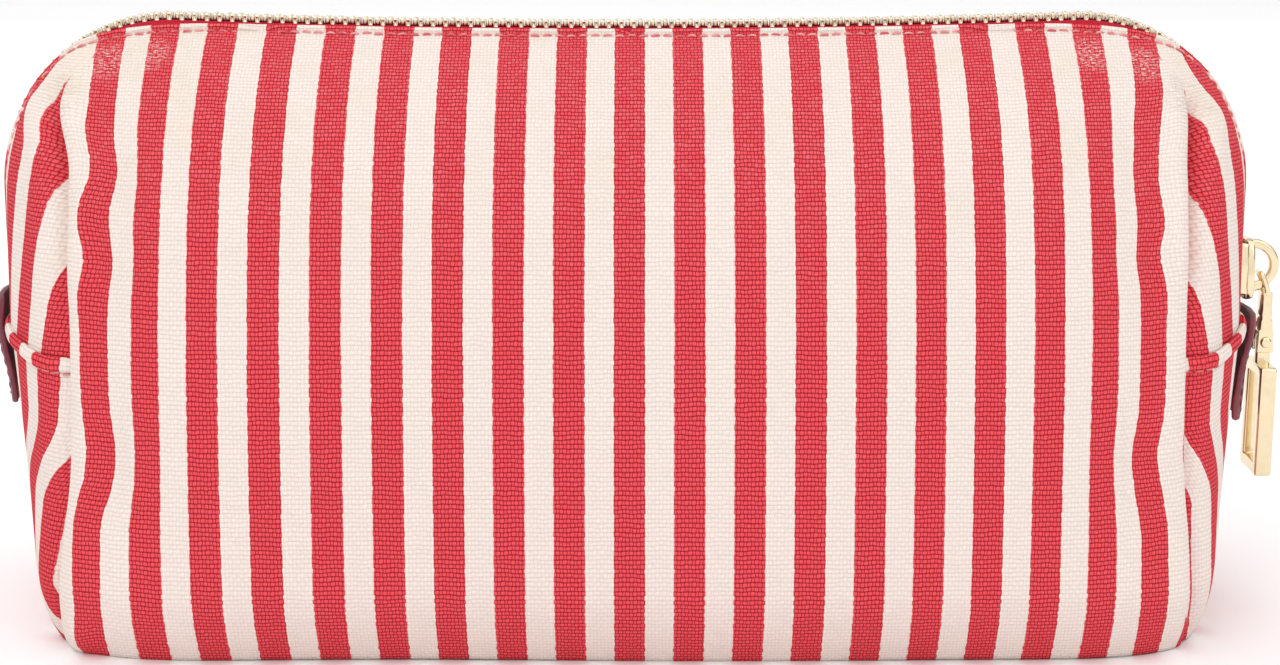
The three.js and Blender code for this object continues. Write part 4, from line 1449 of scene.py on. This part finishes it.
@dataclass
class EndPatch:
    """A leather patch tented over the end of the zip, sewn down round its edge."""

    form: BagForm
    finishes: Finishes
    end: End
    thickness: float = 1.2
    corner_power: float = 7.0
    stitch_inset: float = 1.7
    stitch_pitch: float = 2.6
    stitch_radius: float = 0.16
    lip_share: float = 1.02
    ridge: float = 2.2
    ridge_half: float = 11.5
    plain_stand: float = 0.30
    fold_stand: float = 1.30
    fold_height: float = 62.6

    @property
    def foot_stand(self) -> float:
        """How much further the patch's foot stands off than its middle."""
        return 1.0 if self.end is End.RIGHT else 0.1

    def build(self) -> bpy.types.Object:
        """Makes the patch and its stitches."""
        name = self.end.name.lower()
        low, high = node_box(f"{name}_end_patch")
        half, middle, tall = (high[1] - low[1]) / 2.0, (high[2] + low[2]) / 2.0, (high[2] - low[2]) / 2.0
        shares = np.sin(np.linspace(0.0, np.pi / 2.0, 12))[:, None]
        x, y = superellipse(64, self.corner_power)
        across, level = shares * x * half, middle + shares * y * tall
        outer = self._lay(across, level, self.thickness)
        inner = self._lay(across, level, 0.0)
        lip = self._lay(across[-1:] * self.lip_share, middle + (level[-1:] - middle) * self.lip_share,
                        self.thickness / 2.0)
        grid = np.concatenate([outer, lip, inner[::-1]])
        piece = grid_piece(f"{name}_patch", grid * self.end.turn, close_columns=True, caps=True)
        dress(piece, self.finishes.leather, "bag", (f"{name}_end_patch",))
        x, y = superellipse(160, self.corner_power)
        line = self._lay(x[None, :] * (half - self.stitch_inset),
                         middle + y[None, :] * (tall - self.stitch_inset), self.thickness)[0]
        closed = np.concatenate([line, line[:1]])
        edge = EdgeLine(closed, np.broadcast_to(X_AXIS, closed.shape), np.zeros(len(closed)))
        rows = stitch_piece(f"{name}_patch_stitch", edge.turned(self.end.turn).moved(0.0, 0.04),
                            self.stitch_pitch, 31, self.stitch_radius)
        dress(rows, self.finishes.leather_thread, "bag")
        return piece

    def _lay(self, across: Array, level: Array, lift: float) -> Array:
        """Points over the +X end: the plain end, plus the fold under the patch, plus the zip's ridge."""
        f = self.form
        strip = np.minimum(f.strip_half, 0.4 * f.half_depth(level))
        beyond = np.maximum(0.0, np.abs(across) - strip) / (f.half_depth(level) - strip)
        power = f.power(level)
        share = (1.0 - beyond**power) ** (1.0 / power)
        plain = f.flat_front_half + (f.half_width(level) - f.flat_front_half) * share
        stand = self.plain_stand + self.fold_stand * bump(level - self.fold_height, 6.0)
        ridge = self.ridge + self.foot_stand * smoothstep((57.0 - level) / 12.0)
        stand = stand + ridge * (1.0 - (across / self.ridge_half) ** 2)
        return np.stack([plain + stand + lift, across, level], -1)


# ---------------------------------------------------------------- slider and pull


def plate_stack(outline: Array, low: float, high: float, rounding: float) -> Array:
    """A plate with rounded edges, stacked along X.

    Each level is the outline drawn in by the stack's inset towards its middle.

    Args:
        outline: Y and Z of the outline.
        low: X of one face.
        high: X of the other.
        rounding: Radius of its edges.

    Returns:
        A grid of points, one row for each level.
    """
    levels = rounding_levels(low, high, rounding)
    inset = rounded_stack(levels, rounding)
    middle = outline.mean(0)
    away = outline - middle
    size = np.linalg.norm(away, axis=1, keepdims=True)
    drawn = middle + away[None] * (1.0 - inset[:, None, None] / size[None])
    x = np.broadcast_to(levels[:, None, None], drawn.shape[:2] + (1,))
    return np.concatenate([x, drawn], -1)


@dataclass
class Slider:
    """The slider casting and the loop on its outer plate, which is its bail."""

    finishes: Finishes
    bar: float = 1.0
    plate_taper: float = 0.22
    outer_plate: float = 2.0
    inner_plate: float = 1.15
    flange_inset: float = 0.75
    flange_lean: float = 0.55
    flange_half: tuple = (1.7, 0.6)
    wedge_half: tuple = (0.4, 2.1)

    def build(self) -> None:
        """Makes the casting and the bail."""
        self._casting()
        self._bail()

    def _outline(self, half: float, low: float, high: float) -> Array:
        """Heart-shaped plate: half width x (1 - taper t^2), with its corners rounded off."""
        x, y = superellipse(72, 4.5)
        t = (y + 1.0) / 2.0
        return np.stack([half * x * (1.0 - self.plate_taper * t**2), low + (high - low) * t], 1)

    def _casting(self) -> None:
        """Two plates, two side flanges and the wedge between them."""
        low, high = node_box("slider_body")
        half = (high[1] - low[1]) / 2.0
        surface = Surface()
        outline = self._outline(half, low[2], high[2])
        for first, last, rounding in ((high[0] - self.outer_plate, high[0], 0.65),
                                      (low[0], low[0] + self.inner_plate, 0.45)):
            surface.add_grid(plate_stack(outline, first, last, rounding), close_columns=True, caps=True)
        z = rounding_levels(low[2] + 1.4, high[2] - 0.6, 0.5)
        for sign in (-1.0, 1.0):
            lean = half - self.flange_inset - self.flange_lean * ((z - low[2]) / (high[2] - low[2])) ** 2
            path = np.stack([np.full_like(z, high[0] - 3.1), sign * lean, z], 1)
            wide, thick = self.flange_half
            size = 1.0 - rounded_stack(z, 0.5) / thick
            flange = sweep(path, X_AXIS, Y_AXIS, wide * size, thick * size, 12, 4.0)
            surface.add_grid(flange, close_columns=True, caps=True, flip=True)
        x = rounding_levels(low[0] + 0.6, high[0] - 0.8, 0.2)
        path = np.stack([x, np.zeros_like(x), np.full_like(x, low[2] + 2.5)], 1)
        surface.add_grid(sweep(path, Y_AXIS, Z_AXIS, *self.wedge_half, 14, 2.6), close_columns=True,
                         caps=True, flip=True)
        piece = surface.build("slider_casting")
        dress(piece, self.finishes.gold, "slider", ("slider_body",))

    def _bail(self) -> None:
        """A half ring of rounded square bar with two feet on the plate."""
        low, high = node_box("slider_bail")
        radius = (high[2] - low[2]) / 2.0 - self.bar
        middle_x, middle_z = high[0] - radius - self.bar, (high[2] + low[2]) / 2.0
        turn = np.linspace(-np.pi / 2.0, np.pi / 2.0, 40)
        arc = np.stack([middle_x + radius * np.cos(turn), np.zeros(40), middle_z + radius * np.sin(turn)], 1)
        foot = node_box("slider_body")[1][0] - 0.5
        steps = np.linspace(foot, middle_x, 4)[:-1]
        start = np.stack([steps, np.zeros(3), np.full(3, middle_z - radius)], 1)
        end = np.stack([steps[::-1], np.zeros(3), np.full(3, middle_z + radius)], 1)
        path = np.concatenate([start, arc, end])
        outward = np.cross(unit(np.gradient(path, axis=0)), Y_AXIS)
        grid = sweep(path, Y_AXIS, outward, self.bar, self.bar, 16, 4.0)
        piece = grid_piece("slider_loop", grid, close_columns=True, caps=True, flip=True)
        dress(piece, self.finishes.gold, "slider", ("slider_bail",))


@dataclass
class Pull:
    """The link on the bail, its cross pin and the open rectangular pull."""

    finishes: Finishes
    link_half: float = 2.2
    groove_half: float = 1.5
    bar: float = 2.5
    frame_top: float = 53.0
    outer_corner: float = 0.8
    inner_corner: float = 0.45
    knuckle_half: tuple = (1.55, 1.15)
    knuckle_rounding: float = 0.9
    eye_half: tuple = (0.55, 0.45)

    def build(self) -> None:
        """Makes the three pieces."""
        low, high = node_box("pull_pin")
        self.pin = (low + high) / 2.0
        self._link()
        self._pin(low, high)
        self._frame()

    def _block(self, surface: Surface, z: Array, stations: Array, y: float, half_y: float,
               rounding: float) -> None:
        """A rounded bar up a list of stations of height, middle X and half thickness."""
        inset = rounded_stack(z, rounding)
        x = np.interp(z, stations[:, 0], stations[:, 1])
        half_x = np.interp(z, stations[:, 0], stations[:, 2]) - inset
        path = np.stack([x, np.full_like(z, y), z], 1)
        surface.add_grid(sweep(path, X_AXIS, Y_AXIS, half_x, half_y - inset, 20, 6.0), close_columns=True,
                         caps=True, flip=True)

    def _link(self) -> None:
        """A strap that thickens into a block with a groove, two cheeks below it and an eye above.

        Each station is a height, the strap's middle X there and its half thickness.
        """
        px = self.pin[0]
        stations = np.array([[55.4, px, 1.8], [60.0, px - 0.02, 1.62], [62.4, px - 0.05, 1.5],
                             [62.9, px - 0.06, 1.28], [63.3, px - 0.06, 1.28], [63.8, px - 0.08, 1.42],
                             [65.0, px - 0.1, 1.2], [68.6, px - 0.1, 1.2]])
        surface = Surface()
        upper = np.concatenate([rounding_levels(60.0, 62.4, 0.25, 3, 3)[:-4],
                                [62.4, 62.7, 62.9, 63.3, 63.6, 63.9],
                                rounding_levels(64.0, 68.7, 0.3, 3, 6)[4:]])
        self._block(surface, upper, stations, 0.0, self.link_half, 0.25)
        cheek = rounding_levels(55.4, 60.6, 0.35, 4, 5)
        for sign in (-1.0, 1.0):
            y = sign * (self.link_half + self.groove_half) / 2.0
            self._block(surface, cheek, stations, y, (self.link_half - self.groove_half) / 2.0 + 0.01, 0.3)
        self._eye(surface)
        piece = surface.build("pull_strap")
        dress(piece, self.finishes.gold, "pull_link", ("pull_link",))

    def _eye(self, surface: Surface) -> None:
        """The eye: a bar bent up one side of the bail, over its inside and down the other.

        Its half path is given point by point, then drawn finer and smoothed three times.
        """
        y = np.array([1.75, 1.75, 1.75, 1.72, 1.5, 1.0, 0.0])
        x = np.array([138.2, 138.1, 137.5, 136.9, 136.62, 136.55, 136.55])
        z = np.array([67.6, 69.2, 71.2, 72.4, 72.8, 72.85, 72.85])
        half = np.stack([x, y, z], 1)
        path = np.concatenate([half, (half * [1.0, -1.0, 1.0])[-2::-1]])
        place = np.linspace(0.0, 1.0, len(path))
        fine = np.linspace(0.0, 1.0, 49)
        path = np.stack([np.interp(fine, place, column) for column in path.T], 1)
        for _ in range(3):
            path[1:-1] = (path[:-2] + 2.0 * path[1:-1] + path[2:]) / 4.0
        along = unit(np.gradient(path, axis=0))
        outward = unit(np.cross(along, Z_AXIS + 0.6 * X_AXIS))
        across = np.cross(outward, along)
        surface.add_grid(sweep(path, across, outward, *self.eye_half, 12, 3.0), close_columns=True, caps=True)

    def _pin(self, low: Array, high: Array) -> None:
        """A pin with a domed head at each end: radius r carried along Y from the end of the head."""
        reach = (high[1] - low[1]) / 2.0
        y = np.array([0.0, 0.05, 0.2, 0.38, 0.4, 0.42])
        r = np.array([0.1, 0.85, 1.12, 1.2, 1.15, 0.75])
        y = np.concatenate([-reach + y, (reach - y)[::-1]])
        r = np.concatenate([r, r[::-1]])
        turn = np.linspace(0.0, 2.0 * np.pi, 32, endpoint=False)
        grid = np.stack(np.broadcast_arrays(self.pin[0] + r[:, None] * np.cos(turn), y[:, None],
                                            self.pin[2] + r[:, None] * np.sin(turn)), -1)
        piece = grid_piece("pull_cross_pin", grid, close_columns=True, caps=True)
        dress(piece, self.finishes.gold, "pull_link", ("pull_pin",))

    def _ring(self, half_y: float, low: float, high: float, radius: float) -> Array:
        """Rounded rectangle in Y and Z, with the same number of points in each corner and side."""
        turn = np.linspace(0.0, np.pi / 2.0, 7)
        corners = []
        for k, (sy, sz) in enumerate(((1, 1), (-1, 1), (-1, -1), (1, -1))):
            cy = sy * (half_y - radius)
            cz = (high - radius) if sz > 0 else (low + radius)
            angle = turn + k * np.pi / 2.0
            corners.append(np.stack([cy + radius * np.cos(angle), cz + radius * np.sin(angle)], 1))
        return np.concatenate(corners)

    def _frame(self) -> None:
        """The rectangular ring, with crisp mitred corners, and its knuckle."""
        low, high = node_box("pull_frame")
        top, half_y = self.frame_top, (high[1] - low[1]) / 2.0
        outer = self._ring(half_y, low[2], top, self.outer_corner)
        inner = self._ring(half_y - self.bar, low[2] + self.bar, top - self.bar, self.inner_corner)
        x, lateral = superellipse(24, 9.0)
        middle, half_x = (low[0] + high[0]) / 2.0, (high[0] - low[0]) / 2.0
        share = (lateral + 1.0) / 2.0
        flat = inner[:, None, :] * (1.0 - share)[None, :, None] + outer[:, None, :] * share[None, :, None]
        depth = np.broadcast_to((middle + half_x * x)[None, :, None], flat.shape[:2] + (1,))
        surface = Surface()
        surface.add_grid(np.concatenate([depth, flat], -1), close_rows=True, close_columns=True)
        z = rounding_levels(top - 0.8, self.pin[2] + 1.6, self.knuckle_rounding, 6, 5)
        inset = rounded_stack(z, self.knuckle_rounding) * (z > self.pin[2])
        path = np.stack([np.full_like(z, self.pin[0]), np.zeros_like(z), z], 1)
        deep, wide = self.knuckle_half
        surface.add_grid(sweep(path, X_AXIS, Y_AXIS, deep - inset, wide, 16, 6.0), close_columns=True,
                         caps=True, flip=True)
        piece = surface.build("pull_window")
        dress(piece, self.finishes.gold, "pull_frame", ("pull_frame",))


# ---------------------------------------------------------------- whole bag and studio


@dataclass
class MakeupBag:
    """The whole bag."""

    finishes: Finishes = field(default_factory=Finishes)
    form: BagForm = field(default_factory=BagForm)

    def build(self) -> None:
        """Builds every sub-assembly in order."""
        Base(self.form, self.finishes).build()
        for side in Side:
            CanvasPanel(self.form, self.finishes, side).build()
            Lining(self.form, self.finishes, side).build()
        for end in End:
            EndGusset(self.form, self.finishes, end).build()
            EndPatch(self.form, self.finishes, end).build()
        Zip(self.form, self.finishes).build()
        Slider(self.finishes).build()
        Pull(self.finishes).build()
        self._dress_hidden()

    def _dress_hidden(self) -> None:
        """Finishes the frame's own pieces that stay: the stops and the floor of the lining."""
        for name in ("zip_bottom_stop", "zip_top_stop_front", "zip_top_stop_back"):
            self._repaint(name, self.finishes.teeth)
        self._repaint("base_lining", self._plain_lining())

    def _repaint(self, node: str, material: bpy.types.Material) -> None:
        """Puts a material on every slot of a frame node."""
        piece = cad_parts[node]
        if not piece.data.materials:
            piece.data.materials.append(material)
        for slot in piece.material_slots:
            slot.material = material

    def _plain_lining(self) -> bpy.types.Material:
        """Lining cloth for a frame node, which has no cloth coordinates, on its own place."""
        material, g, shader = start_material("lining_floor_cotton")
        place = g.stretch(g.object_place(), (100.0, 100.0, 100.0))
        weave = place_group(g, self.finishes.groups.weave, Place=place, Warp=26.0, Weft=26.0, Wobble=0.4)
        # painted shade: the weave's gaps between the threads are darker than its thread tops
        colour = g.mix(weave.outputs["Height"], (0.55, 0.50, 0.42, 1.0), (0.80, 0.74, 0.64, 1.0))
        g.link(colour, shader.inputs["Base Color"])
        shader.inputs["Roughness"].default_value = 0.85
        raise_surface(g, shader, weave.outputs["Height"], 0.06)
        return material


@dataclass
class Studio:
    """Pale floor, soft light and the camera."""

    elevation: float = 13.0
    distance: float = 495.0
    target: tuple = (3.0, 0.0, 59.5)
    lens: float = 64.15
    sky: tuple = (1.02, 1.24)
    card_light: float = 0.06
    floor_reach: float = 6000.0
    boxes: tuple = (("key", (-0.55, -0.75, 1.05), 0.9, 3.2), ("fill", (0.80, -0.60, 0.60), 0.8, 1.2),
                    ("back", (0.10, 0.90, 0.95), 1.0, 2.0))
    cards: tuple = ((0.9, -0.35, 0.35), (0.25, 0.75, 0.75), (-0.85, -0.35, 0.30))

    def build(self) -> None:
        """Makes the camera, floor and lights."""
        self._camera()
        self._floor()
        self._world()
        for softbox in self.boxes:
            self._softbox(*softbox)

    def _camera(self) -> None:
        """A camera that looks at the target from the front, a little above."""
        data = bpy.data.cameras.new("camera")
        data.lens = self.lens
        data.sensor_width = 36.0
        data.clip_start, data.clip_end = 0.02, 50.0
        camera = bpy.data.objects.new("camera", data)
        bpy.context.scene.collection.objects.link(camera)
        tilt = math.radians(self.elevation)
        back = np.array([0.0, -math.cos(tilt), math.sin(tilt)]) * self.distance
        camera.location = tuple((np.array(self.target) + back) * MM)
        camera.rotation_euler = (math.pi / 2.0 - tilt, 0.0, 0.0)
        bpy.context.scene.camera = camera

    def _floor(self) -> None:
        """A wide pale plane."""
        reach = self.floor_reach
        corners = np.array([[x, y, -0.05] for x, y in ((-reach, -reach), (reach, -reach), (reach, reach),
                                                       (-reach, reach))])
        floor = mesh_object("floor", corners, [[0, 1, 2, 3]])
        material, _, shader = start_material("pale_floor")
        shader.inputs["Base Color"].default_value = (0.96, 0.96, 0.96, 1.0)
        shader.inputs["Roughness"].default_value = 0.9
        floor.data.materials.append(material)

    def _world(self) -> None:
        """Pale light from all round, brighter overhead, with dark cards for the metal to mirror."""
        world = bpy.data.worlds.new("world")
        world.use_nodes = True
        g = NodeGraph(world.node_tree)
        background = next(n for n in world.node_tree.nodes if n.type == "BACKGROUND")
        direction = g.add("ShaderNodeTexCoord").outputs["Generated"]
        light = g.remap(g.split(direction)[2], 0.0, 0.9, *self.sky)
        for card in self.cards:
            facing = g.add("ShaderNodeVectorMath", operation="DOT_PRODUCT")
            g.link(direction, facing.inputs[0])
            facing.inputs[1].default_value = tuple(np.array(card) / np.linalg.norm(card))
            light = g.product(light, g.remap(facing.outputs["Value"], 0.90, 0.95, 1.0, self.card_light))
        background.inputs[0].default_value = (1.0, 1.0, 1.0, 1.0)
        g.link(light, background.inputs[1])
        bpy.context.scene.world = world

    def _softbox(self, name: str, place: tuple, size: float, power: float) -> None:
        """A square area light that faces the bag."""
        data = bpy.data.lights.new(name, "AREA")
        data.size, data.energy = size, power
        light = bpy.data.objects.new(name, data)
        light.location = place
        aim = np.array([0.0, 0.0, 0.06]) - np.array(place)
        level = math.hypot(aim[0], aim[1])
        light.rotation_euler = (math.atan2(level, -aim[2]), 0.0, math.atan2(aim[1], aim[0]) - math.pi / 2.0)
        bpy.context.scene.collection.objects.link(light)


def main() -> None:
    """Builds the studio and the bag."""
    logging.basicConfig(level=logging.INFO, format="%(name)s: %(message)s")
    bpy.context.scene.view_settings.view_transform = "Standard"
    Studio().build()
    MakeupBag().build()


if __name__ == "__main__":
    main()
